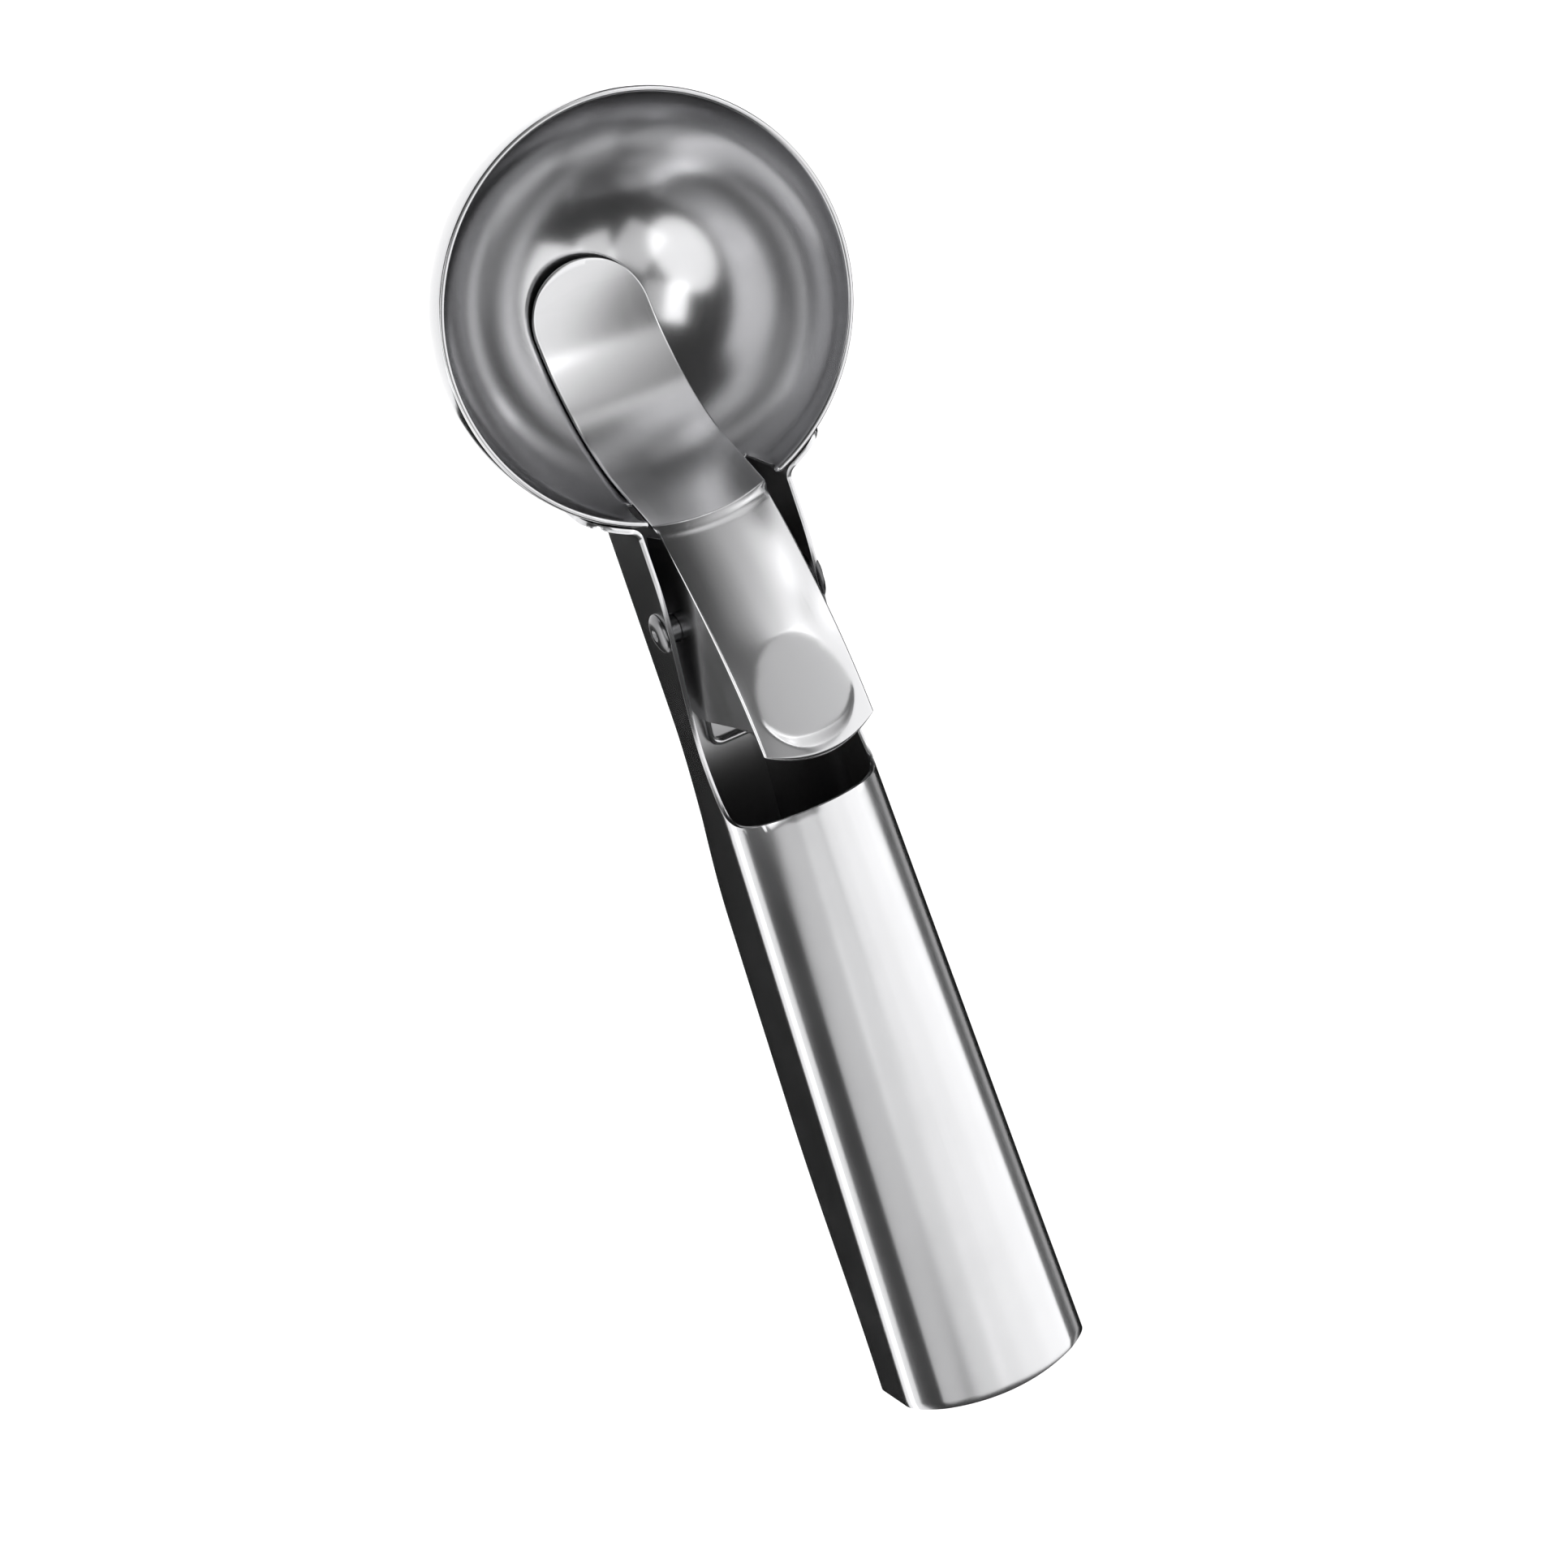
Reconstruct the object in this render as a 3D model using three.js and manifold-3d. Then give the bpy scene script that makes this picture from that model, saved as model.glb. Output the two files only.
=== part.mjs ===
// Ice cream scoop of stainless steel with a thumb lever that sweeps the bowl.
// Millimetres, +Z up. +X runs from the handle to the bowl, +Y to the left of a right-handed user.
// All pieces are drawn about the middle of the bowl's rim, and the last group sets the bowl on the ground.
import * as THREE from 'three';
import { mergeVertices } from 'three/addons/utils/BufferGeometryUtils.js';
import Module from 'manifold-3d';

const wasm = await Module();
wasm.setup();

// Whole scoop
const OVERALL_LENGTH = 197;
const SHEET = 0.9; // thickness of the handle's and the lever's sheet
const FIT_GAP = 0.3; // clearance between pieces that touch or turn on each other

// Bowl
const BOWL_INNER_RADIUS = 29.2;
const BOWL_WALL = 0.8;
const BOWL_NOTCH_CORNER = 3; // in the opening of the rim that the lever passes through

// Pivot
const PIN_BEHIND_BOWL = 44; // bowl axis to pin axis
const PIN_BELOW_RIM = 5.5;
const PIN_DIAMETER = 4;
const RIVET_HEAD_DIAMETER = 5.8;
const RIVET_HEAD_HEIGHT = 1;

// Handle
const FRONT_WIDTH = 23.8; // over both arms, from the bowl back to where the handle's top begins
const REAR_WIDTH = 29.2;
const HANDLE_TOP = 0.5; // above the rim
const CROWN_RADIUS = 16; // of the handle's arched top, at its front
const TOP_CORNER = 4;
const FLOOR_CORNER = 2.5;
const CHANNEL_DEPTH = 16; // rim to the underside of the open channel
const GRIP_DEPTH = 20.7; // rim to the underside of the grip
const REAR_DEPTH = 17.8;
const GRIP_FLAT_START = 46; // the flat underside of the grip, measured back from the pin
const GRIP_FLAT_END = 78;
const CHANNEL_END = 14; // the channel's floor starts to fall here, behind the pin
const TOP_EDGE_BEHIND_PIN = 30.3; // front edge of the handle's closed top
const TOP_EDGE_DROP = 2; // upright part of that edge
const ARM_TOP_DEPTH = 0.9; // rim to the arms' top edge at the bowl
const ARM_LOW_DEPTH = 7.2; // rim to the arms' top edge at its lowest
const ARM_LOW_BEHIND_PIN = 20;
const ARM_RISE_AHEAD_OF_PIN = 8; // the arms' top edge is level from here on
const FLOOR_FRONT_AHEAD_OF_PIN = 11; // front edge of the channel's floor
const REAR_BOW = 1.8; // the rear end is cut in a shallow arc
const TAB_LENGTH = 7.4; // weld tabs, measured outwards from the arms
const TAB_DEPTH = 10;
const TAB_CORNER = 3;

// Lever
const LEVER_WIDTH = 18.2; // over the flanges
const TONGUE_WIDTH = 16.8;
const PLATE_EDGE = 0.2; // the plate's side edges lie this far inside the flanges' outer faces
const FOLD_BELOW_RIM = 4;
const PLATE_ANGLE = THREE.MathUtils.degToRad(25);
const PLATE_RUN = 34.5; // thumb plate, level distance from its fold to its rear end
const PLATE_CROWN = 0.8;
const PLATE_CORNER = 1.2;
const PLATE_REAR_BOW = 2.6;
const TONGUE_REACH = 5; // tip of the tongue past the bowl's axis
const FLANGE_BELOW_PIN = 3.5;
const FLANGE_SLOPE = THREE.MathUtils.degToRad(10);
const FLANGE_BEHIND_PIN = 14;
const FLANGE_CORNER = 6;
const SKIRT_DEPTH = 4.7; // the flange's upper part runs on behind it as a skirt that narrows to the rear end
const DIMPLE_WIDTH = 13.4;
const DIMPLE_LENGTH = 17; // along the plate
const DIMPLE_CORNER = 4; // at its rear; its front end is fully round
const DIMPLE_DEPTH = 0.7;
const DIMPLE_MARGIN = 2; // from the plate's rear end to the dimple, along the plate

// Return spring
const WIRE = 1;
const COIL_TURNS = 3; // whole turns in each of the two coils
const COIL_GAP = 0.6; // between one turn and the next
const COIL_CLEARANCE = 0.5; // round the pin
const BRIDGE_BEHIND_PIN = 20.5; // where the wire's bridge lies on the channel's floor
const BRIDGE_BEND = 2;
const FREE_LEG_BEHIND_PIN = 11;

// Facets
const ROUND_STEPS = 56; // round the bowl
const MERIDIAN_STEPS = 11; // from the bowl's bottom to its rim
const CORNER_STEPS = 3;
const PLAN_STEPS = 12; // round an arc that is drawn in plan
const PIN_STEPS = 24; // round the pin and its holes
const PLATE_STEPS = 9; // along the thumb plate
const SHEET_COLUMNS = 8; // across the lever's sheet
const TIP_TURN = THREE.MathUtils.degToRad(84); // of the tongue's round tip that has facets, from its side
const HANDLE_STEPS = 20; // along the handle
const WELD = 0.001; // points nearer than this are one point

// Places worked out from the sizes above, from the middle of the rim
const bowlOuterRadius = BOWL_INNER_RADIUS + BOWL_WALL;
const rearX = bowlOuterRadius - OVERALL_LENGTH;
const pinX = -PIN_BEHIND_BOWL;
const pinZ = -PIN_BELOW_RIM;
const pinRadius = PIN_DIAMETER / 2;
const pinHoleRadius = pinRadius + FIT_GAP;
const armHalf = FRONT_WIDTH / 2;
const armInnerHalf = armHalf - SHEET;
const topEdgeX = pinX - TOP_EDGE_BEHIND_PIN;
const armLowX = pinX - ARM_LOW_BEHIND_PIN;
const leverHalf = LEVER_WIDTH / 2;
const plateHalf = leverHalf - PLATE_EDGE;
const tongueHalf = TONGUE_WIDTH / 2;
const foldX = -bowlOuterRadius;
const foldZ = -FOLD_BELOW_RIM;
const plateRearX = foldX - PLATE_RUN;
const plateCornerX = plateRearX + PLATE_REAR_BOW;
const plateRise = Math.tan(PLATE_ANGLE);
const tabInnerRadius = bowlOuterRadius + FIT_GAP;

// The tongue follows the bowl up from its tip and then leaves it straight for the fold. Angles about the
// middle of the rim are measured from straight down, to the rear.
const tongueRadius = BOWL_INNER_RADIUS - FIT_GAP - SHEET / 2;
const leaveAngle = Math.atan2(-foldX, -foldZ) - Math.acos(tongueRadius / Math.hypot(foldX, foldZ));

// The notch in the rim reaches down to where the tongue's back comes within half the fit of the wall.
const straightToWall = Math.sqrt((tongueRadius + FIT_GAP / 2) ** 2 - tongueRadius ** 2);
const notchDepth = tongueRadius * Math.cos(leaveAngle) - straightToWall * Math.sin(leaveAngle);

// Solids and booleans

// Triangles that still have three different corners after points were welded.
function withoutSlivers(index) {
  const kept = [];
  for (let i = 0; i < index.length; i += 3) {
    const [a, b, c] = [index[i], index[i + 1], index[i + 2]];
    if (a !== b && b !== c && c !== a) kept.push(a, b, c);
  }
  return kept;
}

function toSolid(geometry) {
  const bare = geometry.index ? geometry.toNonIndexed() : geometry.clone();
  bare.deleteAttribute('normal');
  bare.deleteAttribute('uv');
  const merged = mergeVertices(bare, WELD);
  return new wasm.Manifold(new wasm.Mesh({
    numProp: 3,
    vertProperties: new Float32Array(merged.attributes.position.array),
    triVerts: new Uint32Array(withoutSlivers(merged.index.array)),
  }));
}

// The triangles of a solid, without the slivers that a cut leaves between points a hair apart.
function toGeometry(solid) {
  const mesh = solid.getMesh();
  const cut = new THREE.BufferGeometry();
  cut.setAttribute('position', new THREE.BufferAttribute(new Float32Array(mesh.vertProperties), 3));
  cut.setIndex(new THREE.BufferAttribute(new Uint32Array(mesh.triVerts), 1));
  const geometry = mergeVertices(cut, WELD);
  geometry.setIndex(withoutSlivers(geometry.index.array));
  geometry.computeVertexNormals();
  return geometry;
}

// An outline drawn in X and Z, pushed out across Y from y0 to y1.
function acrossY(shape, y0, y1) {
  const geometry = new THREE.ExtrudeGeometry(shape, {
    depth: y1 - y0, bevelEnabled: false, curveSegments: CORNER_STEPS,
  });
  return geometry.rotateX(Math.PI / 2).translate(0, y1, 0);
}

// An outline drawn in Y and Z, pushed out along X from x0 to x1.
const alongXBasis = new THREE.Matrix4().makeBasis(
  new THREE.Vector3(0, 1, 0), new THREE.Vector3(0, 0, 1), new THREE.Vector3(1, 0, 0));

function alongX(shape, x0, x1, steps = 1) {
  const geometry = new THREE.ExtrudeGeometry(shape, {
    depth: x1 - x0, bevelEnabled: false, curveSegments: CORNER_STEPS, steps,
  });
  return geometry.applyMatrix4(alongXBasis).translate(x0, 0, 0);
}

// An outline drawn in X and Y, pushed up from z0 to z1.
function alongZ(shape, z0, z1) {
  const geometry = new THREE.ExtrudeGeometry(shape, {
    depth: z1 - z0, bevelEnabled: false, curveSegments: PLAN_STEPS,
  });
  return geometry.translate(0, 0, z0);
}

function roundedBox(x0, z0, x1, z1, corner) {
  const shape = new THREE.Shape();
  shape.moveTo(x0 + corner, z0);
  shape.lineTo(x1 - corner, z0);
  shape.absarc(x1 - corner, z0 + corner, corner, -Math.PI / 2, 0);
  shape.lineTo(x1, z1 - corner);
  shape.absarc(x1 - corner, z1 - corner, corner, 0, Math.PI / 2);
  shape.lineTo(x0 + corner, z1);
  shape.absarc(x0 + corner, z1 - corner, corner, Math.PI / 2, Math.PI);
  shape.lineTo(x0, z0 + corner);
  shape.absarc(x0 + corner, z0 + corner, corner, Math.PI, 1.5 * Math.PI);
  return shape;
}

// The lower half of a hollow ball, open at the top.
function halfBall(innerRadius, outerRadius) {
  const profile = [];
  for (let i = 0; i <= MERIDIAN_STEPS; i += 1) {
    const angle = (i / MERIDIAN_STEPS) * Math.PI / 2;
    profile.push(new THREE.Vector2(outerRadius * Math.sin(angle), -outerRadius * Math.cos(angle)));
  }
  for (let i = MERIDIAN_STEPS; i >= 0; i -= 1) {
    const angle = (i / MERIDIAN_STEPS) * Math.PI / 2;
    profile.push(new THREE.Vector2(innerRadius * Math.sin(angle), -innerRadius * Math.cos(angle)));
  }
  profile[0].x = 0;
  profile[profile.length - 1].x = 0;
  return toSolid(new THREE.LatheGeometry(profile, ROUND_STEPS).rotateX(Math.PI / 2));
}

// A round bar across Y at the pin's place.
function barAtPin(radius, length) {
  const bar = new THREE.CylinderGeometry(radius, radius, length, PIN_STEPS);
  return toSolid(bar.translate(pinX, 0, pinZ));
}

function piecewise(x, stations) {
  for (let i = 1; i < stations.length; i += 1) {
    const [x0, v0] = stations[i - 1];
    const [x1, v1] = stations[i];
    if (x >= x1) return v0 + (v1 - v0) * THREE.MathUtils.clamp((x - x0) / (x1 - x0), 0, 1);
  }
  return stations[stations.length - 1][1];
}

// Bowl

function makeBowl() {
  const shell = halfBall(BOWL_INNER_RADIUS, bowlOuterRadius);
  const notch = roundedBox(
    -armInnerHalf, -notchDepth, armInnerHalf, notchDepth, BOWL_NOTCH_CORNER);
  return shell.subtract(toSolid(alongX(notch, -2 * bowlOuterRadius, 0)));
}

// Handle

// The width over the sides and the depth of the underside, from the bowl to the rear end.
const widthStations = [
  [topEdgeX, FRONT_WIDTH],
  [rearX, REAR_WIDTH],
];
const depthStations = [
  [pinX - CHANNEL_END, CHANNEL_DEPTH],
  [pinX - GRIP_FLAT_START, GRIP_DEPTH],
  [pinX - GRIP_FLAT_END, GRIP_DEPTH],
  [rearX, REAR_DEPTH],
];

// The folded section at the front: arched top, round corners, flat floor.
function handleOutline(outline, inset) {
  const half = armHalf - inset;
  const crown = CROWN_RADIUS - inset;
  const corner = TOP_CORNER - inset;
  const floorCorner = FLOOR_CORNER - inset;
  const sideY = half - corner;
  const crownZ = HANDLE_TOP - CROWN_RADIUS;
  const cornerZ = crownZ + Math.sqrt((crown - corner) ** 2 - sideY ** 2);
  const turn = Math.atan2(cornerZ - crownZ, sideY);
  const floorZ = -GRIP_DEPTH + inset;
  outline.moveTo(-half + floorCorner, floorZ);
  outline.lineTo(half - floorCorner, floorZ);
  outline.absarc(half - floorCorner, floorZ + floorCorner, floorCorner, -Math.PI / 2, 0);
  outline.lineTo(half, cornerZ);
  outline.absarc(sideY, cornerZ, corner, 0, turn);
  outline.absarc(0, crownZ, crown, turn, Math.PI - turn);
  outline.absarc(-sideY, cornerZ, corner, Math.PI - turn, Math.PI);
  outline.lineTo(-half, floorZ + floorCorner);
  outline.absarc(-half + floorCorner, floorZ + floorCorner, floorCorner, Math.PI, 1.5 * Math.PI);
  return outline;
}

// Spreads the sides to the width at each place along the handle, and lifts the floor to the depth there.
function flare(geometry) {
  const place = geometry.attributes.position;
  const straightHalf = armHalf - TOP_CORNER;
  const floorZone = -GRIP_DEPTH + FLOOR_CORNER;
  for (let i = 0; i < place.count; i += 1) {
    const [x, y, z] = [place.getX(i), place.getY(i), place.getZ(i)];
    const spread = piecewise(x, widthStations) / 2 - armHalf;
    const lift = GRIP_DEPTH - piecewise(x, depthStations);
    place.setY(i, y + spread * THREE.MathUtils.clamp(y / straightHalf, -1, 1));
    if (z <= floorZone + 1e-4) place.setZ(i, z + lift);
  }
  return geometry;
}

// Side view of what is cut away above the channel, as deep as the lowest place of the arms' top edge.
function channelCut() {
  const shape = new THREE.Shape();
  shape.moveTo(topEdgeX, bowlOuterRadius);
  shape.lineTo(topEdgeX, HANDLE_TOP - TOP_EDGE_DROP);
  shape.quadraticCurveTo(topEdgeX, -ARM_LOW_DEPTH, armLowX, -ARM_LOW_DEPTH);
  shape.lineTo(0, -ARM_LOW_DEPTH);
  shape.lineTo(0, bowlOuterRadius);
  return toSolid(acrossY(shape, -REAR_WIDTH, REAR_WIDTH));
}

// Side view of an arm, from the low place of its top edge to well inside the bowl.
function armOutline() {
  const levelX = pinX + ARM_RISE_AHEAD_OF_PIN;
  const underside = -CHANNEL_DEPTH + FLOOR_CORNER;
  const shape = new THREE.Shape();
  shape.moveTo(armLowX, underside);
  shape.lineTo(-armHalf, underside);
  shape.lineTo(-armHalf, -ARM_TOP_DEPTH);
  shape.lineTo(levelX, -ARM_TOP_DEPTH);
  shape.bezierCurveTo(
    pinX, -ARM_TOP_DEPTH, armLowX + ARM_RISE_AHEAD_OF_PIN, -ARM_LOW_DEPTH, armLowX, -ARM_LOW_DEPTH);
  return shape;
}

// Plan view of the waste behind the bowed rear end.
function rearCut() {
  const half = REAR_WIDTH / 2;
  const shape = new THREE.Shape();
  shape.moveTo(rearX + REAR_BOW, half + SHEET);
  shape.lineTo(rearX + REAR_BOW, half);
  shape.quadraticCurveTo(rearX - REAR_BOW, 0, rearX + REAR_BOW, -half);
  shape.lineTo(rearX + REAR_BOW, -half - SHEET);
  shape.lineTo(rearX - 2 * REAR_BOW, -half - SHEET);
  shape.lineTo(rearX - 2 * REAR_BOW, half + SHEET);
  return toSolid(alongZ(shape, -2 * GRIP_DEPTH, 2 * GRIP_DEPTH));
}

// The two tabs that lie on the outside of the bowl, seen from behind.
function weldTabs() {
  const shell = halfBall(tabInnerRadius, tabInnerRadius + SHEET);
  const [low, high] = [-ARM_TOP_DEPTH - TAB_DEPTH, -ARM_TOP_DEPTH];
  const outer = armInnerHalf + TAB_LENGTH;
  const left = toSolid(alongX(roundedBox(armInnerHalf, low, outer, high, TAB_CORNER), pinX, 0));
  const right = toSolid(alongX(roundedBox(-outer, low, -armInnerHalf, high, TAB_CORNER), pinX, 0));
  return shell.intersect(left.add(right));
}

function makeHandle() {
  const section = handleOutline(new THREE.Shape(), 0);
  section.holes.push(handleOutline(new THREE.Path(), SHEET));
  const tube = alongX(section, rearX - REAR_BOW, pinX + FLOOR_FRONT_AHEAD_OF_PIN, HANDLE_STEPS);
  const arm = armOutline();
  let handle = toSolid(flare(tube)).subtract(channelCut()).subtract(rearCut());
  handle = handle.add(toSolid(acrossY(arm, armInnerHalf, armHalf)));
  handle = handle.add(toSolid(acrossY(arm, -armHalf, -armInnerHalf)));
  const bowlRoom = new THREE.SphereGeometry(tabInnerRadius, ROUND_STEPS, ROUND_STEPS / 2);
  handle = handle.subtract(toSolid(bowlRoom.rotateX(Math.PI / 2)));
  handle = handle.add(weldTabs());
  return handle.subtract(barAtPin(pinHoleRadius, 2 * FRONT_WIDTH));
}

// Lever

// Rows of the flat sheet from the tongue's tip to the plate's rear end: the place of the sheet's middle in the
// side view, and half the sheet's width there.
function leverRows() {
  const rows = [];
  const onBowl = (angle, half) => rows.push({
    x: -tongueRadius * Math.sin(angle), z: -tongueRadius * Math.cos(angle), half,
  });
  const onPlate = (x, half) => rows.push({ x, z: foldZ + (foldX - x) * plateRise, half });
  const tipMiddleX = TONGUE_REACH - tongueHalf;
  const tipSteps = 2 * CORNER_STEPS;
  for (let i = 0; i < tipSteps; i += 1) {
    const turn = TIP_TURN * (1 - i / tipSteps);
    onBowl(-Math.asin((tipMiddleX + tongueHalf * Math.sin(turn)) / tongueRadius), tongueHalf * Math.cos(turn));
  }
  const tipEnd = -Math.asin(tipMiddleX / tongueRadius);
  for (let i = 0; i <= MERIDIAN_STEPS; i += 1) {
    onBowl(THREE.MathUtils.lerp(tipEnd, leaveAngle, i / MERIDIAN_STEPS), tongueHalf);
  }
  onPlate(foldX, tongueHalf);
  const plateFront = foldX - SHEET;
  const plateBack = plateRearX + PLATE_CORNER;
  for (let i = 0; i <= PLATE_STEPS; i += 1) {
    onPlate(THREE.MathUtils.lerp(plateFront, plateBack, i / PLATE_STEPS), plateHalf);
  }
  onPlate(plateRearX, plateHalf - PLATE_CORNER);
  return rows;
}

// Dishes the tongue to the ball of the bowl, crowns the thumb plate and bows its rear end.
function dishAndCrown(point, share) {
  const onTongue = THREE.MathUtils.smoothstep(point.x, foldX - tongueHalf, foldX);
  const dish = 1 - onTongue * (1 - Math.sqrt(1 - (point.y / BOWL_INNER_RADIUS) ** 2));
  const crown = (1 - onTongue) * PLATE_CROWN * (point.y / plateHalf) ** 2;
  const bow = (1 - onTongue) * PLATE_REAR_BOW * share ** 2 * ((foldX - point.x) / PLATE_RUN) ** 4;
  return point.set(point.x * dish + bow, point.y, point.z * dish - crown - bow * plateRise);
}

// The lever's sheet: a flat box bent along its rows.
function leverSheet() {
  const rows = leverRows();
  const along = rows.map((row, i) => {
    const [before, after] = [rows[Math.max(i - 1, 0)], rows[Math.min(i + 1, rows.length - 1)]];
    return new THREE.Vector2(after.x - before.x, after.z - before.z).normalize();
  });
  const sheet = new THREE.BoxGeometry(rows.length - 1, 2, SHEET, rows.length - 1, SHEET_COLUMNS, 1);
  const place = sheet.attributes.position;
  const point = new THREE.Vector3();
  for (let i = 0; i < place.count; i += 1) {
    point.fromBufferAttribute(place, i);
    const at = Math.round(point.x + (rows.length - 1) / 2);
    const [row, share, level] = [rows[at], -point.y, point.z];
    point.set(row.x + along[at].y * level, share * row.half, row.z - along[at].x * level);
    place.setXYZ(i, ...dishAndCrown(point, share));
  }
  return toSolid(sheet);
}

// Side view of a flange: it hangs from the plate's edge, carries the pin and runs out behind as a skirt.
function flangeOutline() {
  const edgeZ = (x) => foldZ + (foldX - x) * plateRise - PLATE_CROWN;
  const lowZ = (x) => pinZ - FLANGE_BELOW_PIN - (pinX - x) * Math.tan(FLANGE_SLOPE);
  const rear = pinX - FLANGE_BEHIND_PIN;
  const front = foldX - SHEET;
  const skirtEnd = plateCornerX + PLATE_CORNER + PLATE_EDGE;
  const shape = new THREE.Shape();
  shape.moveTo(front, edgeZ(front));
  shape.lineTo(skirtEnd, edgeZ(skirtEnd));
  shape.lineTo(skirtEnd, edgeZ(skirtEnd) - SHEET);
  shape.lineTo(rear, edgeZ(rear) - SKIRT_DEPTH);
  shape.lineTo(rear, lowZ(rear) + FLANGE_CORNER);
  shape.quadraticCurveTo(rear, lowZ(rear), rear + FLANGE_CORNER, lowZ(rear + FLANGE_CORNER));
  shape.lineTo(front, lowZ(front));
  return shape;
}

// The dimple's outline grown by a margin, as a plug that lies in the thumb plate. Its top and bottom are
// measured down from the middle of the plate's sheet.
function dimplePlug(margin, top, bottom) {
  const half = DIMPLE_WIDTH / 2 + margin;
  const corner = DIMPLE_CORNER + margin;
  const shape = new THREE.Shape();
  shape.absarc(DIMPLE_LENGTH - DIMPLE_WIDTH / 2, 0, half, -Math.PI / 2, Math.PI / 2);
  shape.lineTo(DIMPLE_CORNER, half);
  shape.absarc(DIMPLE_CORNER, half - corner, corner, Math.PI / 2, Math.PI);
  shape.absarc(DIMPLE_CORNER, corner - half, corner, Math.PI, 1.5 * Math.PI);
  const plugX = plateRearX + DIMPLE_MARGIN * Math.cos(PLATE_ANGLE);
  const plug = alongZ(shape, -bottom, -top).rotateY(PLATE_ANGLE);
  return toSolid(plug.translate(plugX, 0, foldZ + (foldX - plugX) * plateRise));
}

function makeLever() {
  let lever = leverSheet();
  lever = lever.add(dimplePlug(SHEET, 0, DIMPLE_DEPTH + SHEET / 2));
  lever = lever.subtract(dimplePlug(0, -4 * SHEET, DIMPLE_DEPTH - SHEET / 2));
  const flange = flangeOutline();
  lever = lever.add(toSolid(acrossY(flange, leverHalf - SHEET, leverHalf)));
  lever = lever.add(toSolid(acrossY(flange, -leverHalf, -leverHalf + SHEET)));
  return lever.subtract(barAtPin(pinHoleRadius, 2 * LEVER_WIDTH));
}

// Pivot pin: a rivet with a domed head on the outside of each arm.

function makePin() {
  const seat = armHalf + FIT_GAP;
  const headRadius = RIVET_HEAD_DIAMETER / 2;
  const profile = [new THREE.Vector2(0, -seat - RIVET_HEAD_HEIGHT)];
  for (let i = 1; i <= CORNER_STEPS; i += 1) {
    const turn = (i / CORNER_STEPS) * Math.PI / 2;
    profile.push(new THREE.Vector2(
      headRadius * Math.sin(turn), -seat - RIVET_HEAD_HEIGHT * Math.cos(turn)));
  }
  profile.push(new THREE.Vector2(pinRadius, -seat));
  const mirrored = profile.map((point) => new THREE.Vector2(point.x, -point.y)).reverse();
  const pin = new THREE.LatheGeometry([...profile, ...mirrored], PIN_STEPS);
  return toSolid(pin.translate(pinX, 0, pinZ));
}

// Return spring: one wire, with a coil at each flange, a bridge on the channel's floor and two free legs.

// Turn on a circle about the pin at which a wire that runs round it rising leaves straight for a point.
function leaveTurn(x, z, radius) {
  const [dx, dz] = [x - pinX, z - pinZ];
  return Math.atan2(dz, dx) - Math.acos(radius / Math.hypot(dx, dz));
}

function springPoints() {
  const radius = pinRadius + COIL_CLEARANCE + WIRE / 2;
  const outerY = leverHalf - SHEET - FIT_GAP - WIRE / 2;
  const bridge = {
    x: pinX - BRIDGE_BEHIND_PIN,
    z: -piecewise(pinX - BRIDGE_BEHIND_PIN, depthStations) + SHEET + FIT_GAP + WIRE / 2,
  };
  const freeX = pinX - FREE_LEG_BEHIND_PIN;
  const underPlate = DIMPLE_DEPTH + SHEET / 2 + FIT_GAP + WIRE / 2;
  const free = { x: freeX, z: foldZ + (foldX - freeX) * plateRise - underPlate / Math.cos(PLATE_ANGLE) };
  const start = Math.atan2(bridge.z - pinZ, bridge.x - pinX) + Math.acos(
    radius / Math.hypot(bridge.x - pinX, bridge.z - pinZ));
  const leave = leaveTurn(free.x, free.z, radius);
  const sweep = THREE.MathUtils.euclideanModulo(leave - start, 2 * Math.PI) + 2 * Math.PI * COIL_TURNS;
  const innerY = outerY - (sweep / (2 * Math.PI)) * (WIRE + COIL_GAP);
  const onCoil = (turn, y) => new THREE.Vector3(
    pinX + radius * Math.cos(turn), y, pinZ + radius * Math.sin(turn));
  const stepsPerTurn = 8;
  const coilSteps = Math.round((sweep / (2 * Math.PI)) * stepsPerTurn);
  const corner = new THREE.Vector3(bridge.x, outerY, bridge.z);
  const inward = new THREE.Vector3(0, -BRIDGE_BEND, 0);
  const upward = onCoil(start, outerY).sub(corner).setLength(BRIDGE_BEND);
  const rounding = 0.3; // the bend's middle lies this share of its arms from the corner
  const half = [corner.clone().add(inward)];
  half.push(corner.clone().addScaledVector(inward, rounding).addScaledVector(upward, rounding));
  half.push(corner.clone().add(upward));
  for (let i = 0; i <= coilSteps; i += 1) {
    const share = i / coilSteps;
    half.push(onCoil(start + sweep * share, THREE.MathUtils.lerp(outerY, innerY, share)));
  }
  const freeEnd = new THREE.Vector3(free.x, innerY, free.z);
  const legStart = half[half.length - 1];
  half.push(freeEnd.clone().lerp(legStart, WIRE / freeEnd.distanceTo(legStart)));
  half.push(freeEnd);
  const other = half.map((point) => new THREE.Vector3(point.x, -point.y, point.z)).reverse();
  return [...other, ...half];
}

// Least distance between stretches of the wire that are more than a few diameters apart along it.
function leastGap(points) {
  const path = new THREE.CurvePath();
  for (let i = 1; i < points.length; i += 1) path.add(new THREE.LineCurve3(points[i - 1], points[i]));
  const spacing = WIRE / 2;
  const dense = path.getSpacedPoints(Math.round(path.getLength() / spacing));
  let least = Infinity;
  for (let i = 0; i < dense.length; i += 1) {
    for (let j = i + Math.round((4 * WIRE) / spacing); j < dense.length; j += 1) {
      least = Math.min(least, dense[i].distanceTo(dense[j]) - WIRE);
    }
  }
  return least;
}

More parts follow.
